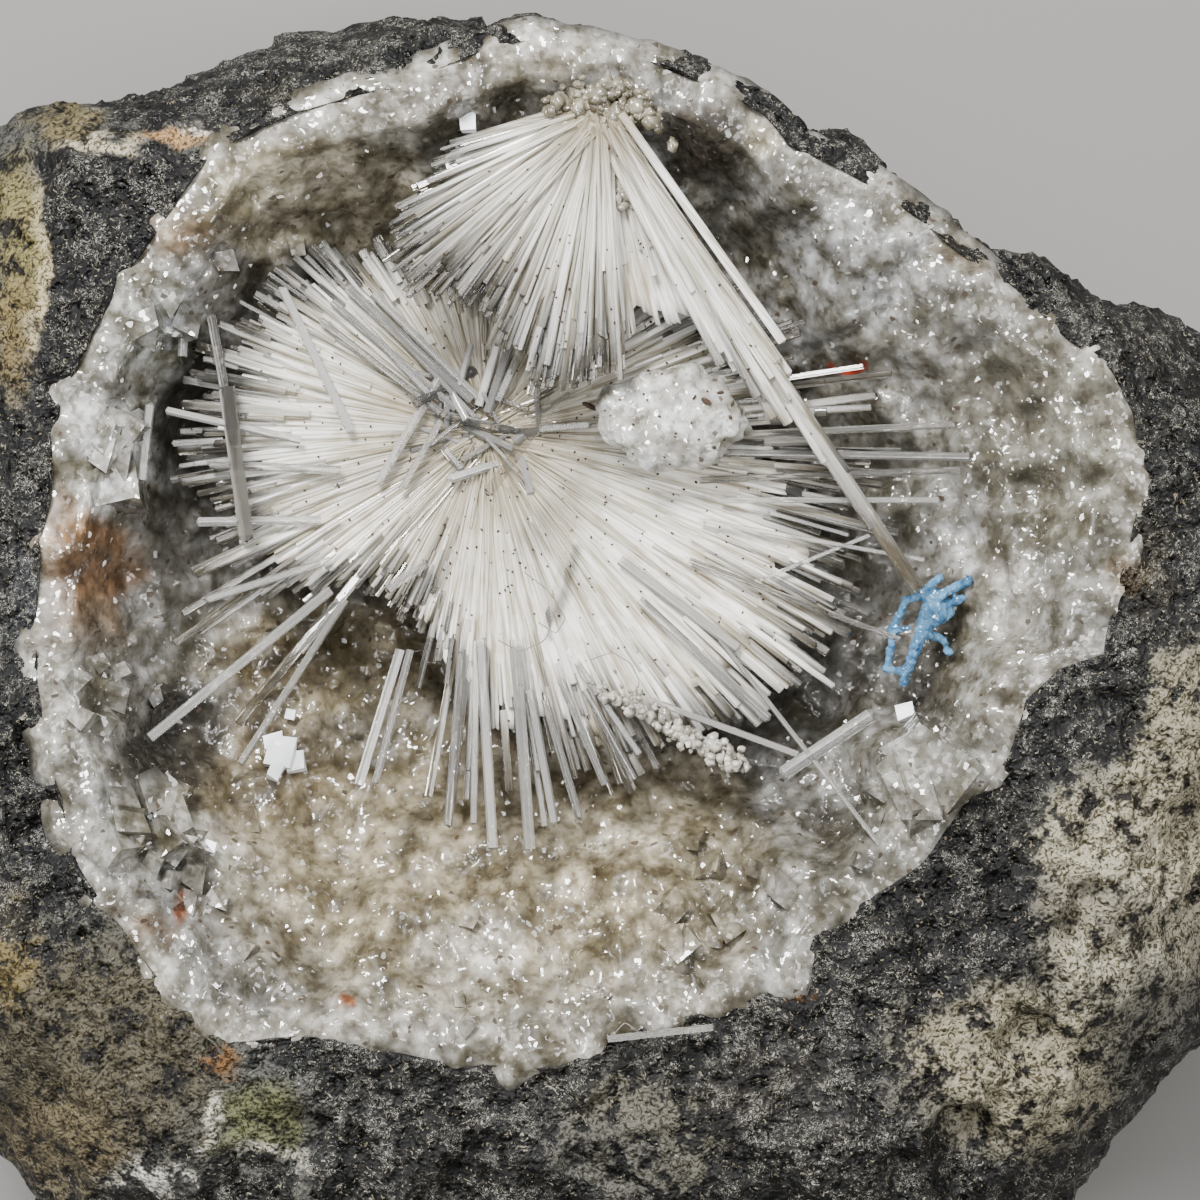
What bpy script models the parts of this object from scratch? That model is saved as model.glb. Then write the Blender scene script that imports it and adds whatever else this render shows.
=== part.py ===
"""Natrolite needles grown in the open hollow of a basalt cobble.

Units are metres with +Z up. The cobble lies on its flat back at z = 0, its broken
face and the hollow look up, and the origin is the middle of its footprint. All the
named sizes below are in millimetres and are scaled once, when a mesh is stored.
"""

import math
import random

import bmesh
import bpy
import numpy as np
from mathutils import Matrix, Vector, noise
from mathutils.bvhtree import BVHTree

MM = 0.001
TURN = 2 * math.pi
UP = Vector((0, 0, 1))

# Driving sizes of the cobble and its hollow
FACE_HEIGHT = 32.0
HOLLOW_FLOOR = 15.0
HOLLOW_AXIS = Vector((-0.2, 5.2, 0))
GAP = 0.35
SEGMENTS = 56

# Outlines seen from above, anticlockwise, in millimetres from the origin
HOLLOW_OUTLINE = (
    (27.8, 8.7), (27.5, 12.5), (26.4, 14.4), (24.0, 16.4), (20.8, 18.6), (18.0, 21.2),
    (14.6, 23.7), (10.4, 25.8), (8.9, 27.6), (5.0, 29.4), (1.0, 30.6), (-2.8, 31.2),
    (-5.2, 30.6), (-9.2, 28.8), (-14.2, 27.6), (-18.5, 25.6), (-21.2, 21.8),
    (-24.2, 17.1), (-26.1, 13.2), (-26.7, 8.2), (-27.4, 2.7), (-27.2, -1.8),
    (-26.3, -6.3), (-25.3, -10.1), (-23.2, -13.1), (-20.7, -16.4), (-17.7, -18.9),
    (-13.2, -18.4), (-9.7, -19.4), (-5.2, -20.0), (-1.2, -20.2), (0.5, -19.2),
    (3.8, -17.8), (7.5, -17.1), (10.7, -15.6), (11.8, -12.7), (13.8, -12.0),
    (17.0, -9.9), (18.8, -7.3), (21.2, -4.7), (22.1, -1.8), (23.8, -0.2),
    (26.0, 0.5), (26.4, 3.2),
)
FACE_OUTLINE = (
    (31.6, 8.2), (30.6, 1.2), (28.3, -4.8), (25.0, -10.8), (20.8, -16.0),
    (15.3, -20.6), (8.8, -22.6), (0.8, -23.8), (-6.7, -23.0), (-12.7, -21.3),
    (-19.2, -21.5), (-23.2, -18.8), (-26.2, -14.3), (-28.5, -9.8), (-29.3, -4.8),
    (-29.7, 1.2), (-29.2, 7.2), (-28.6, 12.2), (-27.2, 16.7), (-26.9, 21.7),
    (-25.9, 25.4), (-22.7, 25.7), (-18.8, 26.6), (-12.7, 29.0), (-8.2, 30.5),
    (-5.5, 31.5), (-2.9, 32.0), (1.3, 31.2), (5.7, 30.0), (10.0, 27.9), (11.5, 25.9),
    (15.3, 24.1), (18.6, 21.2), (21.4, 19.9), (25.0, 17.7), (28.3, 14.7), (30.8, 11.2),
)
SIDE_OUTLINE = (
    (36.3, 5.3), (36.2, -3.0), (34.5, -11.2), (31.7, -19.2), (29.8, -21.0),
    (27.2, -24.0), (25.3, -27.7), (22.5, -30.8), (16.0, -33.0), (6.0, -34.0),
    (-6.5, -33.8), (-18.5, -32.2), (-27.5, -28.6), (-33.5, -21.5), (-36.0, -12.0),
    (-36.4, -3.0), (-36.2, 5.5), (-35.2, 16.5), (-33.0, 24.5), (-29.5, 28.5),
    (-24.5, 28.9), (-19.4, 30.1), (-14.9, 31.4), (-10.3, 32.5), (-5.5, 33.3),
    (-4.9, 32.0), (-2.7, 32.9), (1.3, 31.6), (5.9, 30.5), (10.1, 28.2), (11.5, 26.2),
    (15.4, 24.4), (19.2, 21.7), (21.9, 20.4), (24.5, 19.4), (29.1, 17.7), (31.7, 16.6),
    (34.9, 12.5),
)

# Needle sprays: where each one starts, and how far its needles reach by direction
SPRAY_START = Vector((-5.0, 11.7, 28.0))
SPRAY_REACH = (
    (0, 22.5), (15, 19.0), (30, 15.0), (50, 11.5), (70, 9.5), (100, 10.0), (125, 12.0),
    (140, 13.5), (155, 15.0), (180, 15.8), (200, 15.5), (210, 18.0), (220, 21.0),
    (235, 19.0), (250, 18.5), (265, 20.5), (275, 21.0), (288, 20.0), (300, 18.6),
    (318, 20.5), (335, 21.5), (350, 21.5),
)
SPRAY_NEEDLES = 60
CROWN_NEEDLES = 8
FAN_START = Vector((0.8, 27.6, 31.0))
FAN_RIBS = (  # direction in degrees, length, slope in degrees
    (200, 9.2, -1), (205.5, 10.8, -2), (211, 12.6, -1), (216, 13.0, -3),
    (221, 13.3, -2), (227, 12.4, -3), (232.5, 11.9, -2), (238, 11.6, -3),
    (244, 12.4, -2), (250, 13.2, -3), (255, 13.9, -2), (260, 14.5, -3),
    (266, 13.6, -4), (270, 13.9, -3), (274, 13.5, -3), (288, 8.5, -4),
    (292.5, 11.0, -3), (298.3, 15.0, -3), (300.2, 17.5, -3), (302, 18.6, -3),
    (303.7, 28.8, -2.2), (305.4, 16.5, -3),
)
NEEDLE_WIDTH = (0.55, 0.95)
SEED = 7
# The vector noise starts from the clock unless its own seed is set
NOISE_SEED = 1795634483

# Loose pieces: both ends seen from above, and the width
LOOSE_NEEDLES = (
    ((0.9, 16.4), (-4.8, 8.5), 0.55),
    ((-10.0, 3.7), (-7.9, 5.1), 0.5),
    ((-2.0, 1.7), (-0.6, 6.7), 0.35),
    ((-17.9, 14.0), (-16.9, 6.2), 0.7),
)
RIM_NEEDLE = ((1.1, -18.7), (6.5, -18.1), 0.35)


def clear_scene():
    for obj in list(bpy.data.objects):
        bpy.data.objects.remove(obj, do_unlink=True)


def make_material(name, colour, roughness, transmission=0.0):
    material = bpy.data.materials.new(name)
    material.use_nodes = True
    shader = material.node_tree.nodes["Principled BSDF"]
    shader.inputs["Base Color"].default_value = (*colour, 1)
    shader.inputs["Roughness"].default_value = roughness
    shader.inputs["Metallic"].default_value = 0.0
    shader.inputs["Transmission Weight"].default_value = transmission
    material.diffuse_color = (*colour, 1)
    return material


def new_collection(name):
    collection = bpy.data.collections.new(name)
    bpy.context.scene.collection.children.link(collection)
    return collection


def store(name, shape, material, collection):
    """Keeps a shape made in millimetres as an object in metres."""
    bmesh.ops.scale(shape, vec=(MM, MM, MM), verts=shape.verts)
    bmesh.ops.recalc_face_normals(shape, faces=shape.faces)
    mesh = bpy.data.meshes.new(name)
    shape.to_mesh(mesh)
    shape.free()
    mesh.materials.append(material)
    obj = bpy.data.objects.new(name, mesh)
    collection.objects.link(obj)
    return obj


def fuse(obj, other):
    """Grows the closed shapes of another object onto this one as a single solid."""
    union = obj.modifiers.new("grown together", "BOOLEAN")
    union.operation = "UNION"
    union.solver = "EXACT"
    union.use_self = True
    union.object = other
    graph = bpy.context.evaluated_depsgraph_get()
    shape = bmesh.new()
    shape.from_mesh(obj.evaluated_get(graph).to_mesh())
    obj.modifiers.remove(union)
    bpy.data.objects.remove(other, do_unlink=True)
    keep_outer_skin(shape)
    shape.to_mesh(obj.data)
    shape.free()


def keep_outer_skin(shape):
    """Fills the small hollows that crossing crystals close off inside a solid."""
    left = set(shape.verts)
    skins = []
    while left:
        skin, edge = set(), [left.pop()]
        while edge:
            vertex = edge.pop()
            skin.add(vertex)
            for link in vertex.link_edges:
                other = link.other_vert(vertex)
                if other in left:
                    left.discard(other)
                    edge.append(other)
        skins.append(skin)
    skins.sort(key=len)
    for skin in skins[:-1]:
        bmesh.ops.delete(shape, geom=list(skin), context="VERTS")


def surface_of(*objects):
    """The finished skins of some objects as one search tree, in metres."""
    graph = bpy.context.evaluated_depsgraph_get()
    corners, faces = [], []
    for obj in objects:
        mesh = obj.evaluated_get(graph).to_mesh()
        start = len(corners)
        corners += [vertex.co.copy() for vertex in mesh.vertices]
        faces += [[start + i for i in face.vertices] for face in mesh.polygons]
    return BVHTree.FromPolygons(corners, faces)


def height_on(surface, x, y, above=60.0):
    """The height of a skin under a point, in millimetres, or None beside it."""
    hit = surface.ray_cast(Vector((x, y, above)) * MM, -UP)[0]
    return None if hit is None else hit.z / MM


def settle(shapes, surface, gap=GAP):
    """Lowers or lifts shapes together, in millimetres, until they just clear a skin."""
    spots = []
    for shape in shapes:
        spots += [vertex.co for vertex in shape.verts]
        spots += [face.calc_center_median() for face in shape.faces]
        for edge in shape.edges:
            ends = edge.verts[0].co, edge.verts[1].co
            spots += [ends[0].lerp(ends[1], share) for share in (0.25, 0.5, 0.75)]
    levels = [(spot.z, height_on(surface, spot.x, spot.y)) for spot in spots]
    room = min(z - level for z, level in levels if level is not None)
    for shape in shapes:
        bmesh.ops.translate(shape, vec=UP * (gap - room), verts=shape.verts)


def outline_reach(points):
    """How far an outline lies from the hollow's axis at each turn, as a function."""
    offsets = np.array(points) - np.array(HOLLOW_AXIS[:2])
    turns = np.arctan2(offsets[:, 1], offsets[:, 0]) % TURN
    reaches = np.hypot(offsets[:, 0], offsets[:, 1])
    order = np.argsort(turns)
    return lambda turn: float(np.interp(turn, turns[order], reaches[order], period=TURN))


HOLLOW_EDGE = outline_reach(HOLLOW_OUTLINE)
FACE_EDGE = outline_reach(FACE_OUTLINE)
SIDE_EDGE = outline_reach(SIDE_OUTLINE)


def between(low, high, share):
    return low + (high - low) * share


def bell(x, y, centre, width):
    return math.exp(-((x - centre[0]) ** 2 + (y - centre[1]) ** 2) / width**2)


def ringed_skin(segments, rings, first_pole, last_pole):
    """A closed skin of stacked rings, made by moving the rings of a UV sphere.

    Each ring is a function that turns an angle into a point.
    """
    skin = bmesh.new()
    steps = len(rings) + 1
    bmesh.ops.create_uvsphere(skin, u_segments=segments, v_segments=steps, radius=1)
    for vertex in skin.verts:
        step = round(math.acos(max(-1.0, min(1.0, vertex.co.z))) / math.pi * steps)
        if step in (0, steps):
            vertex.co = first_pole if step == 0 else last_pole
            continue
        turn = math.atan2(vertex.co.y, vertex.co.x) % TURN
        vertex.co = rings[step - 1](turn)
    return skin


def on_ring(turn, reach, height):
    return HOLLOW_AXIS + Vector((reach * math.cos(turn), reach * math.sin(turn), height))


# The hollow's wall as shares of the hollow's edge, with heights
HOLLOW_WALL = (
    (0.28, HOLLOW_FLOOR), (0.55, HOLLOW_FLOOR + 0.8), (0.78, HOLLOW_FLOOR + 3.2),
    (0.91, HOLLOW_FLOOR + 7.5), (0.975, HOLLOW_FLOOR + 12.5), (1.0, FACE_HEIGHT),
)
# Below the face the cobble swells to its side outline and tucks in to the base
SIDE_STEPS = ((0.35, -1.9), (0.72, -5.2), (1.0, -11.0))
FOOT_STEPS = ((0.985, 13.5), (0.955, 7.0), (0.905, 2.2))
BASE_SHARE = 0.86


def weathered(point, amount):
    """Moves a point of the cobble's skin as weathering and breaking would."""
    coarse = noise.noise_vector(point * 0.11) * 1.5
    fine = noise.noise_vector(point * 0.33 + Vector((9, 0, 0))) * 0.75
    return point + (coarse + fine) * amount


def build_matrix(material, collection):
    """The basalt cobble: flat back, weathered sides, broken face and the hollow in it."""
    def wall(share, height):
        return lambda turn: on_ring(turn, HOLLOW_EDGE(turn) * share, height)

    def face(share, amount):
        def place(turn):
            reach = between(HOLLOW_EDGE(turn), FACE_EDGE(turn), share)
            return weathered(on_ring(turn, reach, FACE_HEIGHT - 0.5 * share), amount)
        return place

    def side(share, drop):
        def place(turn):
            reach = between(FACE_EDGE(turn), SIDE_EDGE(turn), share)
            return weathered(on_ring(turn, reach, FACE_HEIGHT + drop), 0.8)
        return place

    def foot(share, height):
        return lambda turn: weathered(
            on_ring(turn, SIDE_EDGE(turn) * share, height), min(0.8, height / 6)
        )

    rings = [wall(share, height) for share, height in HOLLOW_WALL]
    rings += [face(0.5, 0.25), face(1.0, 0.3)]
    rings += [side(share, drop) for share, drop in SIDE_STEPS]
    rings += [foot(share, height) for share, height in FOOT_STEPS]
    rings.append(lambda turn: on_ring(turn, SIDE_EDGE(turn) * BASE_SHARE, 0))
    hub = HOLLOW_AXIS + UP * HOLLOW_FLOOR
    skin = ringed_skin(SEGMENTS, rings, hub, HOLLOW_AXIS)
    return store("basalt_matrix", skin, material, collection)


# Inside of the lining crust: how deep it is, and how steeply it falls by direction
BOWL_DEPTH = 11.5
BOWL_STEEPNESS = (
    (0, 1.9), (45, 2.2), (90, 3.4), (135, 3.6), (180, 4.6), (215, 3.2), (250, 1.9),
    (290, 1.9), (325, 3.0),
)
# Swellings and pits of the crust: place, width, height
BOWL_FEATURES = (
    ((-5.2, -10.5), 7.5, 2.4), ((3.5, -11.0), 4.5, 2.0), ((10.3, -10.4), 1.9, 1.8),
    ((13.3, 19.7), 4.2, 2.2), ((20.5, 10.5), 4.5, 1.3), ((17.0, -5.6), 3.2, 2.6),
    ((-22.2, -9.6), 2.6, 1.9), ((-23.2, 9.5), 2.6, 2.2), ((-19.5, 19.0), 3.0, 1.4),
    ((-21.0, -3.6), 2.3, -3.2), ((-19.2, 11.5), 2.8, -2.0), ((17.6, -1.0), 2.6, -3.0),
    ((7.8, 21.4), 2.4, -2.6), ((13.0, -8.6), 1.6, -2.2),
)
CRUST_STEPS = (0.0, 0.14, 0.28, 0.4, 0.51, 0.61, 0.7, 0.78, 0.85, 0.91, 0.96, 1.0)


def bowl_height(x, y):
    """Height of the crust's inner face at a place inside the hollow."""
    offset = Vector((x, y, 0)) - HOLLOW_AXIS
    turn = math.atan2(offset.y, offset.x)
    share = min(1.0, offset.length / (HOLLOW_EDGE(turn % TURN) - 1.9))
    directions, falls = zip(*BOWL_STEEPNESS)
    fall = float(np.interp(math.degrees(turn) % 360, directions, falls, period=360))
    height = FACE_HEIGHT - BOWL_DEPTH * (1 - share**fall)
    for centre, width, rise in BOWL_FEATURES:
        height += rise * bell(x, y, centre, width) * (1 - share**8)
    knobs = noise.noise(Vector((x, y, 3)) * 0.42) + 0.6 * noise.noise(Vector((x, y, 8)) * 0.8)
    return height + 0.75 * knobs


# Blocky crystals on the crust: place, size along three edges, turn in degrees
BLOCKS = (
    ((17.3, -5.4), (4.6, 4.2, 2.6), 28), ((-21.6, -8.6), (2.6, 2.2, 2.0), 10),
    ((-19.8, -9.4), (1.9, 1.9, 1.7), 48), ((-23.6, -9.0), (1.8, 2.0, 1.8), 70),
    ((-23.0, 11.4), (1.4, 4.4, 1.6), 8), ((-24.4, 9.8), (1.2, 4.0, 1.4), -6),
    ((-21.7, 10.2), (1.1, 3.6, 1.3), 14), ((-18.6, 19.4), (1.2, 3.2, 1.2), 4),
    ((15.4, 18.0), (1.8, 1.6, 1.4), 35), ((20.6, 14.8), (1.9, 1.6, 1.3), 12),
    ((23.5, 9.0), (1.6, 1.7, 1.4), 60), ((12.0, 23.0), (1.5, 1.4, 1.2), 40),
    ((-11.5, -15.5), (2.4, 1.8, 1.4), 33), ((2.6, -14.0), (2.8, 2.2, 1.5), 5),
    ((-24.2, -2.5), (1.7, 1.6, 1.4), 40),
)


# Rounded crystal lumps on the crust: place and radius
LUMPS = (
    ((10.9, -10.8), 2.4), ((16.2, -1.4), 1.7), ((21.6, 4.3), 1.3), ((-2.8, -13.6), 2.2),
    ((3.2, -9.6), 1.9), ((12.6, 20.4), 1.8), ((21.0, 9.4), 1.6),
)


def build_blocks(material, collection):
    """Blocky and rounded crystals half sunk in the crust's inner face."""
    pick = random.Random(SEED)
    shape = bmesh.new()
    for (x, y), size, turn in BLOCKS:
        tilt = Matrix.Rotation(pick.uniform(-0.35, 0.35), 4, "X")
        tilt @= Matrix.Rotation(pick.uniform(-0.35, 0.35), 4, "Y")
        spin = Matrix.Rotation(math.radians(turn), 4, "Z")
        place = Matrix.Translation((x, y, bowl_height(x, y) + 0.1 * size[2])) @ tilt @ spin
        bmesh.ops.create_cube(shape, size=1, matrix=place @ Matrix.Diagonal((*size, 1)))
    for (x, y), radius in LUMPS:
        place = Matrix.Translation((x, y, bowl_height(x, y) - 0.25 * radius))
        bmesh.ops.create_icosphere(shape, subdivisions=1, radius=radius, matrix=place)
    for vertex in shape.verts:
        offset = vertex.co - HOLLOW_AXIS
        turn = math.atan2(offset.y, offset.x) % TURN
        room = HOLLOW_EDGE(turn) - 1.6
        reach = math.hypot(offset.x, offset.y)
        if reach > room:
            vertex.co.x -= offset.x * (1 - room / reach)
            vertex.co.y -= offset.y * (1 - room / reach)
    return store("crust_blocks", shape, material, collection)


def build_crust(material, collection, helpers):
    """The lining of the hollow: a knobbly bowl with blocky crystals grown on it."""
    def inner(share):
        def place(turn):
            reach = (HOLLOW_EDGE(turn) - 1.9) * share
            point = on_ring(turn, reach, 0)
            return Vector((point.x, point.y, bowl_height(point.x, point.y)))
        return place

    def rim(turn):
        crest = 0.55 + 0.35 * noise.noise(on_ring(turn, 20, 5) * 0.4)
        return on_ring(turn, HOLLOW_EDGE(turn) - 0.95, FACE_HEIGHT + crest)

    def wall(share, height):
        return lambda turn: on_ring(turn, HOLLOW_EDGE(turn) * share - GAP, height + GAP)

    rings = [inner(share) for share in CRUST_STEPS[1:]]
    rings.append(rim)
    rings += [wall(share, height) for share, height in reversed(HOLLOW_WALL)]
    hub = Vector((*HOLLOW_AXIS[:2], bowl_height(*HOLLOW_AXIS[:2])))
    skin = ringed_skin(SEGMENTS, rings, hub, HOLLOW_AXIS + UP * (HOLLOW_FLOOR + GAP))
    crust = store("cavity_crust", skin, material, collection)
    fuse(crust, build_blocks(material, helpers))
    return crust


def add_needle(shape, root, tip, width, turn=0.0):
    """Adds one square prism with a low pyramid at its tip."""
    run = tip - root
    cap = 0.45 * width
    frame = run.to_track_quat("Z", "Y").to_matrix().to_4x4()
    frame = frame @ Matrix.Rotation(turn, 4, "Z")
    frame.translation = root + run * 0.5
    made = bmesh.ops.create_cone(
        shape, cap_ends=True, segments=4, radius1=width / math.sqrt(2),
        radius2=width / math.sqrt(2), depth=run.length - cap, matrix=frame,
    )
    top = max(
        {face for vertex in made["verts"] for face in vertex.link_faces},
        key=lambda face: face.calc_center_median().dot(run),
    )
    poked = bmesh.ops.poke(shape, faces=[top])["verts"][0]
    poked.co += run.normalized() * cap


def heading(direction, slope):
    """A unit vector for a compass direction and a slope, both in degrees."""
    turn, rise = math.radians(direction), math.radians(slope)
    return Vector((
        math.cos(turn) * math.cos(rise), math.sin(turn) * math.cos(rise), math.sin(rise),
    ))


def clear_run(surface, start, direction, wanted, margin):
    """How far a needle can run from a point before it comes near a skin."""
    hit = surface.ray_cast(start * MM, direction, (wanted + margin) * MM)[3]
    return wanted if hit is None else min(wanted, hit / MM - margin)


def spray_reach(direction):
    directions, reaches = zip(*SPRAY_REACH)
    return float(np.interp(direction % 360, directions, reaches, period=360))


def spray_rise(direction):
    """Slope of the spray's upper face: it dips where the upper fan hangs over it."""
    under_fan = math.exp(-(((direction - 85 + 180) % 360 - 180) / 48) ** 2)
    return 6.5 - 11.5 * under_fan


def build_spray_core(material, collection):
    """The spray's close-packed middle: a ridged dish on a stem that stands on the crust."""
    def ridge(turn):
        return 1 if round(turn / TURN * 64) % 2 else -1

    def ring(share, rise, drop):
        def place(turn):
            direction = math.degrees(turn)
            reach = spray_reach(direction) * (share + 0.035 * ridge(turn))
            height = reach * math.tan(math.radians(spray_rise(direction))) * rise
            height += 0.22 * ridge(turn) * min(1.0, share * 3) - drop
            offset = Vector((math.cos(turn), math.sin(turn), 0)) * reach
            return SPRAY_START + offset + UP * height
        return place

    rings = (
        ring(0.12, 1, 0.3), ring(0.28, 1, 0.2), ring(0.44, 1, 0.25), ring(0.6, 1, 0.5),
        ring(0.66, 0.6, 1.4), ring(0.5, 0, 2.6), ring(0.3, 0, 3.6), ring(0.17, 0, 4.6),
    )
    foot = SPRAY_START - UP * 4.9
    skin = ringed_skin(64, rings, SPRAY_START - UP * 0.5, foot)
    return store("main_spray", skin, material, collection)


def build_spray_needles(material, collection, crust_skin):
    """Needles that leave the core on all sides, each stopped short of the crust."""
    pick = random.Random(SEED + 1)
    shape = bmesh.new()
    for index in range(SPRAY_NEEDLES):
        direction = (index + pick.uniform(0, 0.8)) * 360 * 5 / SPRAY_NEEDLES
        layer = index % 5
        slope = spray_rise(direction) + (0.5, -1.5, 0, -13, -24)[layer] + pick.uniform(-2, 1)
        run = heading(direction, slope)
        length = spray_reach(direction) * pick.uniform(0.84, 1.0)
        width = pick.uniform(*NEEDLE_WIDTH)
        length = clear_run(crust_skin, SPRAY_START, run, length, GAP + width)
        root = length * (0.3, 0.36, 0.42, 0.35, 0.4)[layer]
        if length < root + 1.5:
            continue
        add_needle(
            shape, SPRAY_START + run * root, SPRAY_START + run * length, width,
            pick.uniform(0, TURN),
        )
    for index in range(CROWN_NEEDLES):
        run = heading((index + pick.random()) * 360 / CROWN_NEEDLES, pick.uniform(18, 38))
        root = SPRAY_START - UP * 0.8
        add_needle(shape, root, root + run * pick.uniform(3.0, 5.5), 0.6, pick.random())
    return store("spray_needles", shape, material, collection)


def build_fan(material, collection, helpers, surface):
    """The upper spray: ribs that hang from a knot at the hollow's upper edge."""
    pick = random.Random(SEED + 2)
    knot = bmesh.new()
    bmesh.ops.create_icosphere(knot, subdivisions=2, radius=1)
    for vertex in knot.verts:
        vertex.co *= 1 + 0.25 * noise.noise(vertex.co * 1.7)
        vertex.co = FAN_START + Vector((vertex.co.x * 3.0, vertex.co.y * 1.7, vertex.co.z * 1.1))
    ribs = bmesh.new()
    for number, (direction, length, slope) in enumerate(FAN_RIBS):
        twins = (-0.9, 0.9) if number % 3 == 1 and length < 20 else (0,)
        for swing in twins:
            run = heading(direction + swing, slope + pick.uniform(-0.6, 0.6))
            reach = length * (1 if length > 20 else pick.uniform(0.92, 1.0))
            width = 0.8 if length > 20 else pick.uniform(0.85, 1.2)
            root = FAN_START + run * pick.uniform(0.4, 1.2)
            add_needle(ribs, root, FAN_START + run * reach, width, pick.random())
    settle((knot, ribs), surface)
    fan = store("upper_fan", knot, material, collection)
    fuse(fan, store("fan_ribs", ribs, material, helpers))
    return fan


def lumpy(centre, radii, roughness, detail, level=3):
    """A knobbly ball stretched to three radii."""
    shape = bmesh.new()
    bmesh.ops.create_icosphere(shape, subdivisions=level, radius=1)
    for vertex in shape.verts:
        vertex.co *= 1 + roughness * noise.noise(vertex.co * detail + Vector(centre))
        vertex.co = Vector([c + v * r for c, v, r in zip(centre, vertex.co, radii)])
    return shape


def build_knob(material, collection, carrier):
    """A crust of fine white crystals that sits on the spray."""
    shape = lumpy((4.8, 12.2, 33), (3.3, 2.6, 1.1), 0.45, 2.4)
    settle((shape,), carrier)
    return store("white_knob", shape, material, collection)


# The blue sprig: its twigs' ends seen from above, their rise and their thickness
SPRIG_TWIGS = (
    ((15.6, 0.6), (18.6, 4.0), 0.9, 0.8), ((15.4, -0.6), (15.5, 2.6), 0.4, 0.55),
    ((15.5, 2.4), (18.8, 4.2), 0.8, 0.6), ((17.2, 2.4), (18.8, 1.0), 0.3, 0.5),
)


def build_sprig(material, collection, helpers, carrier):
    """A small branching blue grain caught in the hollow."""
    shape = lumpy((16.9, 2.2, 29), (1.0, 1.3, 0.6), 0.5, 2.0, 2)
    twigs = bmesh.new()
    for start, end, rise, width in SPRIG_TWIGS:
        add_needle(twigs, Vector((*start, 29)), Vector((*end, 29 + rise)), width, 0.4)
    settle((shape, twigs), carrier)
    sprig = store("blue_sprig", shape, material, collection)
    fuse(sprig, store("sprig_twigs", twigs, material, helpers))
    return sprig


def lay_needle(name, ends, width, carrier, material, collection):
    """A broken needle that lies on what is under it, touching at its highest places."""
    start, end = (Vector((*point, 0)) for point in ends)
    shares = np.linspace(0, 1, 25)
    heights = []
    for share in shares:
        spots = start.lerp(end, share)
        side = (end - start).orthogonal().normalized() * width * 0.5
        levels = [height_on(carrier, *(spots + side * k)[:2]) for k in (-1, 0, 1)]
        heights.append(max(level for level in levels if level is not None))
    steepest = 0.22 * (end - start).length
    slope = max(-steepest, min(steepest, np.polyfit(shares, heights, 1)[0]))
    level = max(np.array(heights) - slope * shares) + GAP + 0.75 * width
    shape = bmesh.new()
    add_needle(shape, start + UP * level, end + UP * (level + slope), width, math.pi / 4)
    return store(name, shape, material, collection)


def centre_footprint(collection):
    """Moves all the pieces together so that the middle of their footprint is the origin."""
    corners = np.array([
        vertex.co for obj in collection.objects for vertex in obj.data.vertices
    ])
    middle = (corners.min(axis=0) + corners.max(axis=0)) / 2
    for obj in collection.objects:
        obj.data.transform(Matrix.Translation((-middle[0], -middle[1], 0)))
    print("footprint moved by", -middle[:2])


def main():
    clear_scene()
    noise.seed_set(NOISE_SEED)
    specimen = new_collection("natrolite specimen")
    helpers = new_collection("shapes fused into others")
    basalt = make_material("basalt", (0.055, 0.06, 0.065), 0.85)
    lining = make_material("drusy crust", (0.52, 0.48, 0.42), 0.4)
    milky = make_material("milky natrolite", (0.78, 0.75, 0.7), 0.35)
    clear = make_material("clear natrolite", (0.86, 0.86, 0.84), 0.12, 0.8)
    white = make_material("white crust", (0.85, 0.85, 0.83), 0.5)
    blue = make_material("blue grain", (0.1, 0.27, 0.46), 0.25)

    cobble = build_matrix(basalt, specimen)
    crust = build_crust(lining, specimen, helpers)
    crust_skin = surface_of(crust)
    spray = build_spray_core(milky, specimen)
    fuse(spray, build_spray_needles(milky, helpers, crust_skin))
    fan = build_fan(milky, specimen, helpers, surface_of(crust, spray))
    carrier = surface_of(cobble, crust, spray, fan)
    build_knob(white, specimen, surface_of(crust, spray))
    build_sprig(blue, specimen, helpers, surface_of(crust, spray))
    for number, (start, end, width) in enumerate(LOOSE_NEEDLES, 1):
        lay_needle(f"loose_needle_{number}", (start, end), width, carrier, clear, specimen)
    lay_needle("rim_needle", RIM_NEEDLE[:2], RIM_NEEDLE[2], carrier, clear, specimen)
    centre_footprint(specimen)


main()
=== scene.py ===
"""Natrolite needles in the crystal-lined hollow of a basalt cobble.

The cobble lies on its flat back. Sizes in the code are millimetres from the hollow's
own drawing origin and are moved and scaled once, when a mesh is stored. Places that
were read off the picture are given in its pixels and go through seen().
"""

import itertools
import math

import bmesh
import bpy
import numpy as np
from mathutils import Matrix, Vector, noise
from mathutils.bvhtree import BVHTree


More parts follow.
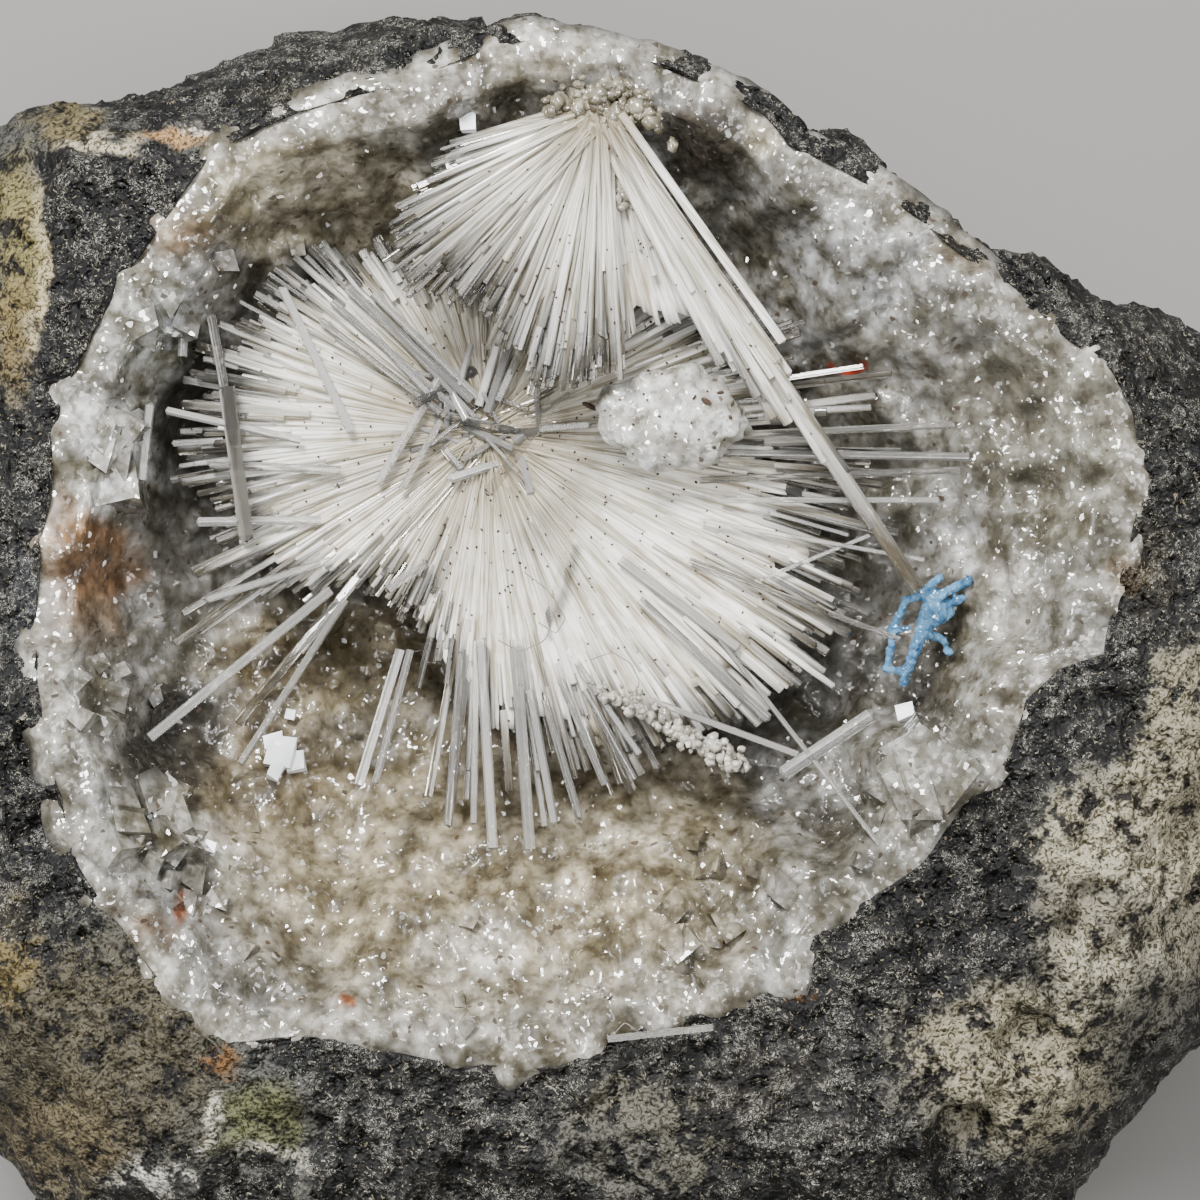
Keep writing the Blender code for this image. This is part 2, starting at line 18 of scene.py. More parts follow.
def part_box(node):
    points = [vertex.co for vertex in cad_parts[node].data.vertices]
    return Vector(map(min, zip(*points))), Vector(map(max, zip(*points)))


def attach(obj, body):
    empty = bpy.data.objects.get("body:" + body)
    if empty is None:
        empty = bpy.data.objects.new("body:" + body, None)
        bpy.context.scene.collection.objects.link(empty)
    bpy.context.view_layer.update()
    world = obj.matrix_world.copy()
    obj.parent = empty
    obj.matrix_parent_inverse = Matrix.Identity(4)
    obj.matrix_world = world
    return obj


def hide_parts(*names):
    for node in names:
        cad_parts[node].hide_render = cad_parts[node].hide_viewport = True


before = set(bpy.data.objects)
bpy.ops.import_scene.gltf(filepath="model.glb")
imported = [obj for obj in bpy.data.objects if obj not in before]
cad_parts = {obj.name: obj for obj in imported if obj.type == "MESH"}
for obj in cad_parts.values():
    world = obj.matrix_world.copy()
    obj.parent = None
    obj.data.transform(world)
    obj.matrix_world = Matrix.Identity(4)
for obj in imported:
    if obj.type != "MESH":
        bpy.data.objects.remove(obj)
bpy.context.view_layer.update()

bl_info = {
    "name": "Natrolite specimen",
    "version": (1, 0, 0),
    "blender": (4, 5, 0),
    "location": "3D View > Sidebar > Natrolite",
    "description": "Needle sprays in the crystal-lined hollow of a basalt cobble",
    "category": "Object",
}

MM = 0.001
TURN = 2 * math.pi
PIXEL = 0.05
CAMERA_HEIGHT = 400.0
PICTURE_MIDDLE = (0.8, 3.2)
FOOTPRINT_SHIFT = np.array((-0.281, 0.678, 0.0))

FACE_HEIGHT = 32.0
HOLLOW_FLOOR = 15.0
HOLLOW_AXIS = np.array((-0.2, 5.2, 0.0))
GAP = 0.35

# Seed of the vector noise, the same as the solids have
NOISE_SEED = 1795634483

HOLLOW_OUTLINE = (
    (27.8, 8.7), (27.5, 12.5), (26.4, 14.4), (24.0, 16.4), (20.8, 18.6), (18.0, 21.2),
    (14.6, 23.7), (10.4, 25.8), (8.9, 27.6), (5.0, 29.4), (1.0, 30.6), (-2.8, 31.2),
    (-5.2, 30.6), (-9.2, 28.8), (-14.2, 27.6), (-18.5, 25.6), (-21.2, 21.8),
    (-24.2, 17.1), (-26.1, 13.2), (-26.7, 8.2), (-27.4, 2.7), (-27.2, -1.8),
    (-26.3, -6.3), (-25.3, -10.1), (-23.2, -13.1), (-20.7, -16.4), (-17.7, -18.9),
    (-13.2, -18.4), (-9.7, -19.4), (-5.2, -20.0), (-1.2, -20.2), (0.5, -19.2),
    (3.8, -17.8), (7.5, -17.1), (10.7, -15.6), (11.8, -12.7), (13.8, -12.0),
    (17.0, -9.9), (18.8, -7.3), (21.2, -4.7), (22.1, -1.8), (23.8, -0.2),
    (26.0, 0.5), (26.4, 3.2),
)
FACE_OUTLINE = (
    (31.6, 8.2), (30.6, 1.2), (28.3, -4.8), (25.0, -10.8), (20.8, -16.0),
    (15.3, -20.6), (8.8, -22.6), (0.8, -23.8), (-6.7, -23.0), (-12.7, -21.3),
    (-19.2, -21.5), (-23.2, -18.8), (-26.2, -14.3), (-28.5, -9.8), (-29.3, -4.8),
    (-29.7, 1.2), (-29.2, 7.2), (-28.6, 12.2), (-27.2, 16.7), (-26.9, 21.7),
    (-25.9, 25.4), (-22.7, 25.7), (-18.8, 26.6), (-12.7, 29.0), (-8.2, 30.5),
    (-5.5, 31.5), (-2.9, 32.0), (1.3, 31.2), (5.7, 30.0), (10.0, 27.9), (11.5, 25.9),
    (15.3, 24.1), (18.6, 21.2), (21.4, 19.9), (25.0, 17.7), (28.3, 14.7), (30.8, 11.2),
)
SIDE_OUTLINE = (
    (36.3, 5.3), (36.2, -3.0), (34.5, -11.2), (31.7, -19.2), (29.8, -21.0),
    (27.2, -24.0), (25.3, -27.7), (22.5, -30.8), (16.0, -33.0), (6.0, -34.0),
    (-6.5, -33.8), (-18.5, -32.2), (-27.5, -28.6), (-33.5, -21.5), (-36.0, -12.0),
    (-36.4, -3.0), (-36.2, 5.5), (-35.2, 16.5), (-33.0, 24.5), (-29.5, 28.5),
    (-24.5, 28.9), (-19.4, 30.1), (-14.9, 31.4), (-10.3, 32.5), (-5.5, 33.3),
    (-4.9, 32.0), (-2.7, 32.9), (1.3, 31.6), (5.9, 30.5), (10.1, 28.2), (11.5, 26.2),
    (15.4, 24.4), (19.2, 21.7), (21.9, 20.4), (24.5, 19.4), (29.1, 17.7), (31.7, 16.6),
    (34.9, 12.5),
)
HOLLOW_WALL = (
    (0.28, HOLLOW_FLOOR), (0.55, HOLLOW_FLOOR + 0.8), (0.78, HOLLOW_FLOOR + 3.2),
    (0.91, HOLLOW_FLOOR + 7.5), (0.975, HOLLOW_FLOOR + 12.5), (1.0, FACE_HEIGHT),
)
SIDE_STEPS = ((0.35, -1.9), (0.72, -5.2), (1.0, -11.0))
FOOT_STEPS = ((0.985, 13.5), (0.955, 7.0), (0.905, 2.2))
BASE_SHARE = 0.86

BOWL_DEPTH = 11.5
BOWL_STEEPNESS = (
    (0, 1.9), (45, 2.2), (90, 3.4), (135, 3.6), (180, 4.6), (215, 3.2), (250, 1.9),
    (290, 1.9), (325, 3.0),
)
BOWL_FEATURES = (
    ((-5.2, -10.5), 7.5, 2.4), ((3.5, -11.0), 4.5, 2.0), ((10.3, -10.4), 1.9, 1.8),
    ((13.3, 19.7), 4.2, 2.2), ((20.5, 10.5), 4.5, 1.3), ((17.0, -5.6), 3.2, 2.6),
    ((-22.2, -9.6), 2.6, 1.9), ((-23.2, 9.5), 2.6, 2.2), ((-19.5, 19.0), 3.0, 1.4),
    ((-21.0, -3.6), 2.3, -3.2), ((-19.2, 11.5), 2.8, -2.0), ((17.6, -1.0), 2.6, -3.0),
    ((7.8, 21.4), 2.4, -2.6), ((13.0, -8.6), 1.6, -2.2),
)

SPRAY_START = np.array((-5.0, 11.7, 28.0))
SPRAY_REACH = (
    (0, 22.5), (15, 19.0), (30, 15.0), (50, 11.5), (70, 9.5), (100, 10.0), (125, 12.0),
    (140, 13.5), (155, 15.0), (180, 15.8), (200, 15.5), (210, 18.0), (220, 21.0),
    (235, 19.0), (250, 18.5), (265, 20.5), (275, 21.0), (288, 20.0), (300, 18.6),
    (318, 20.5), (335, 21.5), (350, 21.5),
)
FAN_START = np.array((0.8, 27.6, 33.3))
FAN_REACH = (
    (196, 8.4), (200, 9.2), (205.5, 10.8), (211, 12.6), (216, 13.0), (221, 13.3),
    (227, 12.4), (232.5, 11.9), (238, 11.6), (244, 12.4), (250, 13.2), (255, 13.9),
    (260, 14.5), (266, 13.6), (270, 13.9), (276, 13.3),
)
BLADE_REACH = ((296.5, 14.0), (298.3, 15.0), (300.2, 17.5), (302, 18.6), (305.4, 16.5))


def seen(px, py, height=FACE_HEIGHT):
    """The place in millimetres that shows at a pixel of the picture, at some height."""
    scale = PIXEL * (1 + (FACE_HEIGHT - height) / CAMERA_HEIGHT)
    return np.array((
        PICTURE_MIDDLE[0] + (px - 600) * scale, PICTURE_MIDDLE[1] + (600 - py) * scale,
        height,
    ))


def pixels(points):
    """The picture's pixels at which places in millimetres show."""
    scale = PIXEL * (1 + (FACE_HEIGHT - points[:, 2]) / CAMERA_HEIGHT)
    return np.stack((
        600 + (points[:, 0] - PICTURE_MIDDLE[0]) / scale,
        600 - (points[:, 1] - PICTURE_MIDDLE[1]) / scale,
    ), axis=1)


def linear(code):
    """An sRGB hex colour as the linear values that a shader takes."""
    parts = np.array([int(code[i:i + 2], 16) / 255 for i in (1, 3, 5)])
    return tuple(np.where(parts <= 0.04045, parts / 12.92, ((parts + 0.055) / 1.055) ** 2.4))


def scatter(cells, seed):
    """Three even random numbers for every whole-number cell, the same on each run."""
    mixed = cells[..., 0] * 73856093 ^ cells[..., 1] * 19349663 ^ cells[..., 2] * 83492791
    values = []
    for step in range(3):
        mixed = (mixed + seed * 7919 + step * 104729) & 0x7FFFFFFF
        mixed = ((mixed ^ (mixed >> 13)) * 1274126177) & 0x7FFFFFFF
        mixed = mixed ^ (mixed >> 16)
        values.append(mixed / 0x7FFFFFFF)
    return np.stack(values, axis=-1)


def swell(points, size, seed=0):
    """Smooth unevenness between about -1 and 1, with lumps about size mm across."""
    spots = points / size + seed * 3.71
    cells = np.floor(spots).astype(np.int64)
    part = spots - cells
    ease = part**3 * (part * (part * 6 - 15) + 10)
    total = np.zeros(len(points))
    for corner in itertools.product((0, 1), repeat=3):
        corner = np.array(corner)
        slope = scatter(cells + corner, seed) * 2 - 1
        weight = np.prod(np.where(corner, ease, 1 - ease), axis=1)
        total += weight * np.sum(slope * (part - corner), axis=1)
    return total * 1.6


def rough(points, size, layers, seed=0):
    """Swells of halving size added up."""
    return sum(
        swell(points, size / 2**layer, seed + layer) / 1.8**layer for layer in range(layers)
    )


def grains(points, size, seed=0, flat=False):
    """Distance in grain widths to the nearest grain centre, its tilt and its random tone."""
    spots = points / size
    if flat:
        spots = spots * np.array((1, 1, 0))
    cells = np.floor(spots).astype(np.int64)
    best = np.full(len(points), 9.0)
    tilt = np.zeros(len(points))
    tone = np.zeros(len(points))
    for corner in itertools.product((-1, 0, 1), (-1, 0, 1), (0,) if flat else (-1, 0, 1)):
        cell = cells + np.array(corner)
        centre = cell + scatter(cell, seed)
        if flat:
            centre[:, 2] = 0
        away = spots - centre
        distance = np.sqrt(np.sum(away**2, axis=1))
        lean = scatter(cell, seed + 5) * 2 - 1
        near = distance < best
        best = np.where(near, distance, best)
        tilt = np.where(near, np.sum(away * lean, axis=1), tilt)
        tone = np.where(near, lean[:, 0], tone)
    return best, tilt, tone


def reach_of(outline):
    """An outline's distance from the hollow's axis, as a function of the turn."""
    offsets = np.array(outline) - HOLLOW_AXIS[:2]
    turns = np.arctan2(offsets[:, 1], offsets[:, 0]) % TURN
    reaches = np.hypot(offsets[:, 0], offsets[:, 1])
    order = np.argsort(turns)
    return lambda turn: np.interp(turn % TURN, turns[order], reaches[order], period=TURN)


HOLLOW_EDGE = reach_of(HOLLOW_OUTLINE)
FACE_EDGE = reach_of(FACE_OUTLINE)
SIDE_EDGE = reach_of(SIDE_OUTLINE)


def by_direction(table, direction, period=360):
    """Reads a table of directions and values between its rows."""
    directions, values = zip(*table)
    return np.interp(direction, directions, values, period=period)


def ring(turns, reach, height):
    """Points around the hollow's axis."""
    return HOLLOW_AXIS + np.stack(
        (reach * np.cos(turns), reach * np.sin(turns), np.zeros(len(turns)) + height), axis=1
    )


def weathered(points, amount):
    """The cobble's coarse unevenness, the same as its solid has."""
    moved = []
    for point in points:
        spot = Vector(point)
        coarse = noise.noise_vector(spot * 0.11) * 1.5
        fine = noise.noise_vector(spot * 0.33 + Vector((9, 0, 0))) * 0.75
        moved.append(spot + (coarse + fine) * amount)
    return np.array(moved)


def polar_faces(count, turns):
    """Faces of a closed skin of rings between a first and a last corner."""
    faces = []
    last = count * turns + 1
    for i in range(turns):
        j = (i + 1) % turns
        faces.append((0, 1 + i, 1 + j))
        faces.append((last, last - turns + j, last - turns + i))
    for row in range(count - 1):
        a, b = 1 + row * turns, 1 + (row + 1) * turns
        faces += [(a + i, b + i, b + (i + 1) % turns, a + (i + 1) % turns) for i in range(turns)]
    return faces


def grid_normals(rings):
    """Outward directions at the corners of stacked rings."""
    along = np.roll(rings, -1, axis=1) - np.roll(rings, 1, axis=1)
    across = np.gradient(rings, axis=0)
    normals = np.cross(across, along)
    return normals / np.maximum(np.linalg.norm(normals, axis=2, keepdims=True), 1e-9)


def piece(name, corners, faces, material, values=None, smooth=False, replaced=()):
    """Stores a piece made in millimetres, hangs it on the root body and hides the solids it stands
    for.
    """
    mesh = bpy.data.meshes.new(name)
    mesh.from_pydata(((np.asarray(corners) + FOOTPRINT_SHIFT) * MM).tolist(), [], faces)
    for label, data in (values or {}).items():
        if data.ndim == 2:
            layer = mesh.color_attributes.new(label, "FLOAT_COLOR", "POINT")
            layer.data.foreach_set("color", np.hstack((data, np.ones((len(data), 1)))).ravel())
        else:
            layer = mesh.attributes.new(label, "FLOAT", "POINT")
            layer.data.foreach_set("value", data)
    shape = bmesh.new()
    shape.from_mesh(mesh)
    bmesh.ops.recalc_face_normals(shape, faces=shape.faces)
    shape.to_mesh(mesh)
    shape.free()
    mesh.shade_smooth() if smooth else mesh.shade_flat()
    mesh.materials.append(material)
    obj = bpy.data.objects.new(name, mesh)
    bpy.context.scene.collection.objects.link(obj)
    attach(obj, "root")
    if replaced:
        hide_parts(*replaced)
    return obj


def skin_of(obj):
    """A search tree over an object's skin, in millimetres of the drawing."""
    corners = [Vector((np.array(v.co) / MM - FOOTPRINT_SHIFT).tolist()) for v in obj.data.vertices]
    return BVHTree.FromPolygons(corners, [tuple(face.vertices) for face in obj.data.polygons])


def height_on(tree, x, y, missing=None):
    """The height where a line from above meets a skin."""
    hit = tree.ray_cast(Vector((x, y, 60)), Vector((0, 0, -1)))[0]
    return missing if hit is None else hit.z


# Shading

SHARE, FIRST, SECOND, BLENDED = 0, 6, 7, 2  # a Mix node's sockets for colours


def add(tree, kind, inputs=None, **settings):
    """Adds one node with its settings, and sets or links its sockets.

    A colour socket takes a link, a hex code or three linear values.
    """
    made = tree.nodes.new(kind)
    for name, value in settings.items():
        setattr(made, name, value)
    for name, value in (inputs or {}).items():
        socket = made.inputs[name]
        if isinstance(value, bpy.types.NodeSocket):
            tree.links.new(value, socket)
        elif socket.type == "RGBA":
            socket.default_value = (*(linear(value) if isinstance(value, str) else value), 1)
        else:
            socket.default_value = value
    return made


def new_material(name):
    """A material with an empty tree and the place coordinates in metres."""
    material = bpy.data.materials.new(name)
    material.use_nodes = True
    tree = material.node_tree
    tree.nodes.clear()
    place = add(tree, "ShaderNodeTexCoord").outputs["Object"]
    return material, tree, place


def dress(tree, finish):
    """Gives the material its surface, with the sockets of its finish."""
    surface = add(tree, "ShaderNodeBsdfPrincipled", finish).outputs["BSDF"]
    add(tree, "ShaderNodeOutputMaterial", {"Surface": surface})


def toned(tree, value, low, high, first, second):
    """The colour that turns from the first to the second while a value rises."""
    rise = add(tree, "ShaderNodeMapRange", {
        "Value": value, "From Min": low, "From Max": high}).outputs["Result"]
    return add(tree, "ShaderNodeMix", {
        SHARE: rise, FIRST: first, SECOND: second}, data_type="RGBA").outputs[BLENDED]


def tinted(tree, colour, *tints):
    """A colour multiplied by others."""
    for tint in tints:
        colour = add(tree, "ShaderNodeMix", {
            SHARE: 1.0, FIRST: colour, SECOND: tint,
        }, data_type="RGBA", blend_type="MULTIPLY").outputs[BLENDED]
    return colour


def basalt_material():
    """Basalt, fresh broken and weathered.

    The fresh break is charcoal with curled tan and ochre flecks of altered minerals 0.1 to
    0.3 mm across; a few crystal faces in it glint. The weathered skin is tan and pitted.
    """
    material, tree, place = new_material("basalt, fresh broken and weathered")
    tint = add(tree, "ShaderNodeAttribute", attribute_name="tint").outputs["Color"]
    age = add(tree, "ShaderNodeAttribute", attribute_name="age").outputs["Fac"]
    cloud = add(tree, "ShaderNodeTexNoise", {
        "Vector": place, "Scale": 1 / (1.4 * MM), "Detail": 3.0, "Roughness": 0.78,
    }).outputs["Fac"]
    curl = add(tree, "ShaderNodeTexNoise", {
        "Vector": place, "Scale": 1 / (0.42 * MM), "Detail": 1.0, "Roughness": 0.6,
        "Distortion": 2.2,
    }).outputs["Fac"]
    off = add(tree, "ShaderNodeMath", {0: curl, 1: 0.5}, operation="SUBTRACT").outputs[0]
    off = add(tree, "ShaderNodeMath", {0: off}, operation="ABSOLUTE").outputs[0]
    thin = add(tree, "ShaderNodeMapRange", {
        "Value": off, "From Min": 0.01, "From Max": 0.024, "To Min": 1.0, "To Max": 0.0})
    wide = add(tree, "ShaderNodeMapRange", {
        "Value": cloud, "From Min": 0.48, "From Max": 0.58})
    threads = add(tree, "ShaderNodeMath", {
        0: thin.outputs["Result"], 1: wide.outputs["Result"]}, operation="MULTIPLY")
    spots = add(tree, "ShaderNodeMapRange", {
        "Value": curl, "From Min": 0.67, "From Max": 0.7, "To Max": 0.9})
    flecks = add(tree, "ShaderNodeMath", {
        0: threads.outputs[0], 1: spots.outputs["Result"]}, operation="MAXIMUM")
    flecks = add(tree, "ShaderNodeMath", {0: flecks.outputs[0], 1: 0.8}, operation="MULTIPLY")
    fresh = add(tree, "ShaderNodeMix", {
        SHARE: flecks.outputs[0],
        FIRST: tinted(tree, tint, toned(tree, cloud, 0.38, 0.62, "#201f1f", "#757577")),
        SECOND: toned(tree, cloud, 0.4, 0.6, "#7d735a", "#a3a094"),
    }, data_type="RGBA").outputs[BLENDED]
    worn = tinted(
        tree, tint, toned(tree, cloud, 0.38, 0.5, "#4a463c", "#ffffff"),
        toned(tree, curl, 0.4, 0.5, "#77715f", "#ffffff"))
    edge = add(tree, "ShaderNodeMath", {0: cloud, 1: 0.5}, operation="SUBTRACT").outputs[0]
    edge = add(tree, "ShaderNodeMath", {0: edge, 1: 3.0, 2: age}, operation="MULTIPLY_ADD")
    cells = add(tree, "ShaderNodeTexVoronoi", {
        "Vector": place, "Scale": 1 / (0.3 * MM)}).outputs["Color"]
    gloss = add(tree, "ShaderNodeMapRange", {
        "Value": cells, "From Min": 0.05, "From Max": 0.6, "To Min": 0.18, "To Max": 0.75})
    bump = add(tree, "ShaderNodeBump", {
        "Height": cloud, "Strength": 1.0, "Distance": 0.7 * MM,
    }).outputs["Normal"]
    lean = add(tree, "ShaderNodeVectorMath", {0: cells, 1: (0.5,) * 3}, operation="SUBTRACT")
    facing = add(tree, "ShaderNodeVectorMath", {
        0: lean.outputs[0], 1: (0.6,) * 3, 2: bump}, operation="MULTIPLY_ADD")
    facing = add(tree, "ShaderNodeVectorMath", {0: facing.outputs[0]}, operation="NORMALIZE")
    dress(tree, {
        "Base Color": toned(tree, edge.outputs[0], 0.35, 0.6, fresh, worn),
        "Roughness": gloss.outputs["Result"], "Normal": facing.outputs[0], "IOR": 1.5,
        "Specular IOR Level": 0.3,
    })
    return material


def crust_material(name, pale, dark, cloudiness, facet):
    """Drusy crust of zeolite and calcite crystals, milky and half clear.

    White veils and grey-brown clear parts show more than edges do, so its body colour is
    soft. Its glassy skin has crystal faces of the facet's size, drawn somewhat coarser than
    the finest real ones: about a fifth lean far enough to flash while the rest stay dull.
    """
    material, tree, place = new_material(name)
    tint = add(tree, "ShaderNodeAttribute", attribute_name="tint").outputs["Color"]
    cloud = add(tree, "ShaderNodeTexNoise", {
        "Vector": place, "Scale": 1 / (2.4 * MM), "Detail": 4.0, "Roughness": 0.6,
    }).outputs["Fac"]
    grain_edge_shade = add(tree, "ShaderNodeTexVoronoi", {
        "Vector": place, "Scale": 1 / (0.9 * MM)}).outputs["Distance"]
    facets = add(tree, "ShaderNodeTexVoronoi", {
        "Vector": place, "Scale": 1 / facet}).outputs["Color"]
    pick = add(tree, "ShaderNodeSeparateColor", {"Color": facets}).outputs
    # painted shade: each round grain 0.9 mm across is darkened towards its edge, where the gaps
    # between grains lie
    tone = tinted(
        tree, tint, toned(tree, cloud, 0.5 - cloudiness, 0.5 + cloudiness, dark, pale),
        toned(tree, grain_edge_shade, 0.15, 0.8, "#ffffff", "#a5a197"),
        toned(tree, pick["Green"], 0.0, 0.6, "#c9c5bb", "#ffffff"))
    specks = add(tree, "ShaderNodeMapRange", {
        "Value": pick["Red"], "From Min": 0.01, "From Max": 0.012, "To Min": 0.85, "To Max": 0.0})
    tone = add(tree, "ShaderNodeMix", {
        SHARE: specks.outputs["Result"], FIRST: tone, SECOND: "#3c2f22"}, data_type="RGBA")
    lean = add(tree, "ShaderNodeVectorMath", {0: facets, 1: (0.5,) * 3}, operation="SUBTRACT")
    amount = add(tree, "ShaderNodeMapRange", {
        "Value": pick["Blue"], "From Min": 0.76, "From Max": 0.8, "To Min": 0.5, "To Max": 1.3})
    lean = add(tree, "ShaderNodeVectorMath", {
        0: lean.outputs[0], "Scale": amount.outputs["Result"]}, operation="SCALE")
    facing = add(tree, "ShaderNodeVectorMath", {
        0: lean.outputs[0], 1: add(tree, "ShaderNodeNewGeometry").outputs["Normal"]},
        operation="ADD")
    facing = add(tree, "ShaderNodeVectorMath", {0: facing.outputs[0]}, operation="NORMALIZE")
    dress(tree, {
        "Base Color": tone.outputs[BLENDED], "Roughness": 0.45, "IOR": 1.4,
        "Coat Weight": 1.0, "Coat Roughness": 0.09, "Coat IOR": 1.6,
        "Coat Normal": facing.outputs[0],
    })
    return material


def radial_shade(tree, place, centre, brown_to):
    """Tan-grey streaks 0.2 mm wide that run out from a point, browner close to it."""
    middle = tuple(float(v) for v in (centre + FOOTPRINT_SHIFT) * MM)
    away = add(tree, "ShaderNodeVectorMath", {0: place, 1: middle}, operation="SUBTRACT")
    parts = add(tree, "ShaderNodeSeparateXYZ", {"Vector": away.outputs[0]})
    back = add(tree, "ShaderNodeMath", {
        0: parts.outputs["Y"], 1: -1.0}, operation="MULTIPLY").outputs[0]
    turn = add(tree, "ShaderNodeMath", {
        0: parts.outputs["X"], 1: back}, operation="ARCTAN2").outputs[0]
    reach = add(tree, "ShaderNodeVectorMath", {
        0: away.outputs[0]}, operation="LENGTH").outputs["Value"]
    run = add(tree, "ShaderNodeCombineXYZ", {
        "X": add(tree, "ShaderNodeMath", {0: turn, 1: 30.0}, operation="MULTIPLY").outputs[0],
        "Y": add(tree, "ShaderNodeMath", {
            0: reach, 1: 1 / (7 * MM)}, operation="MULTIPLY").outputs[0],
    }).outputs["Vector"]
    streak = add(tree, "ShaderNodeTexNoise", {
        "Vector": run, "Scale": 1.0, "Detail": 3.0, "Roughness": 0.8,
    }).outputs["Fac"]
    return tinted(
        tree, toned(tree, streak, 0.4, 0.56, "#b7b0a0", "#ffffff"),
        toned(tree, reach, 1.5 * MM, brown_to, "#b5ad9c", "#ffffff"))


def needle_material(name, settings, centre=None, brown_to=0.0):
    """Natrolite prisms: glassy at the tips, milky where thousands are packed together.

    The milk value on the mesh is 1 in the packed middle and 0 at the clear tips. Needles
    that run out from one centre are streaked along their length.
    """
    material, tree, place = new_material(name)
    milk = add(tree, "ShaderNodeAttribute", attribute_name="milk").outputs["Fac"]
    tone = add(tree, "ShaderNodeAttribute", attribute_name="tone").outputs["Fac"]
    colour = add(tree, "ShaderNodeMix", {
        SHARE: milk, FIRST: settings.clear, SECOND: settings.milky,
    }, data_type="RGBA").outputs[BLENDED]
    if centre is not None:
        colour = tinted(tree, colour, radial_shade(tree, place, centre, brown_to))
    cloud = add(tree, "ShaderNodeTexNoise", {
        "Vector": place, "Scale": 1 / (1.5 * MM), "Detail": 0.0,
    }).outputs["Fac"]
    haze = add(tree, "ShaderNodeMapRange", {
        "Value": cloud, "From Min": 0.35, "From Max": 0.65, "To Max": 0.07})
    clearness = add(tree, "ShaderNodeMapRange", {
        "Value": milk, "From Max": 0.85, "To Min": settings.clearness, "To Max": 0.0})
    dress(tree, {
        "Base Color": tinted(tree, colour, toned(tree, tone, 0.0, 1.0, "#dcd8d0", "#ffffff")),
        "Roughness": haze.outputs["Result"], "IOR": 1.48,
        "Transmission Weight": clearness.outputs["Result"],
    })
    return material


def packed_material(name, milky, centre, brown_to):
    """Natrolite needles packed so close that they read as one creamy, streaked mass."""
    material, tree, place = new_material(name)
    cloud = add(tree, "ShaderNodeTexNoise", {
        "Vector": place, "Scale": 1 / (2.2 * MM), "Detail": 3.0, "Roughness": 0.6,
    }).outputs["Fac"]
    tone = toned(tree, cloud, 0.35, 0.55, "#d9d1c3", milky)
    dress(tree, {
        "Base Color": tinted(tree, tone, radial_shade(tree, place, centre, brown_to)),
        "Roughness": 0.25, "IOR": 1.48,
    })
    return material


def plain_crystal_material(name, colour, shade, roughness, see_through, grain):
    """A crystal of one tint, with clouds of shade and small flat faces."""
    material, tree, place = new_material(name)
    cloud = add(tree, "ShaderNodeTexNoise", {
        "Vector": place, "Scale": 1 / (grain * 2.5), "Detail": 5.0, "Roughness": 0.7,
    }).outputs["Fac"]
    cells = add(tree, "ShaderNodeTexVoronoi", {"Vector": place, "Scale": 1 / grain})
    bump = add(tree, "ShaderNodeBump", {
        "Height": cells.outputs["Distance"], "Strength": 0.5, "Distance": grain * 0.35,
    }).outputs["Normal"]
    dress(tree, {
        "Base Color": toned(tree, cloud, 0.35, 0.65, shade, colour), "Roughness": roughness,
        "Normal": bump, "IOR": 1.49, "Transmission Weight": see_through,
    })
    return material


def paint(points, base, patches, wander=16.0, seed=40):
    """Colour of every corner from patches of colour and of painted shade, whose edges wander."""
    spots = pixels(points)
    spots = spots + wander * np.stack((
        rough(points, 2.4, 3, seed), rough(points, 2.4, 3, seed + 9)), axis=1)
    colours = np.tile(base, (len(points), 1))
    for x, y, width, tall, code, strength in patches:
        away = np.sqrt(((spots[:, 0] - x) / width) ** 2 + ((spots[:, 1] - y) / tall) ** 2)
        share = strength * np.clip((1.25 - away) / 0.5, 0, 1)[:, None]
        colours = colours * (1 - share) + np.array(linear(code)) * share
    return colours
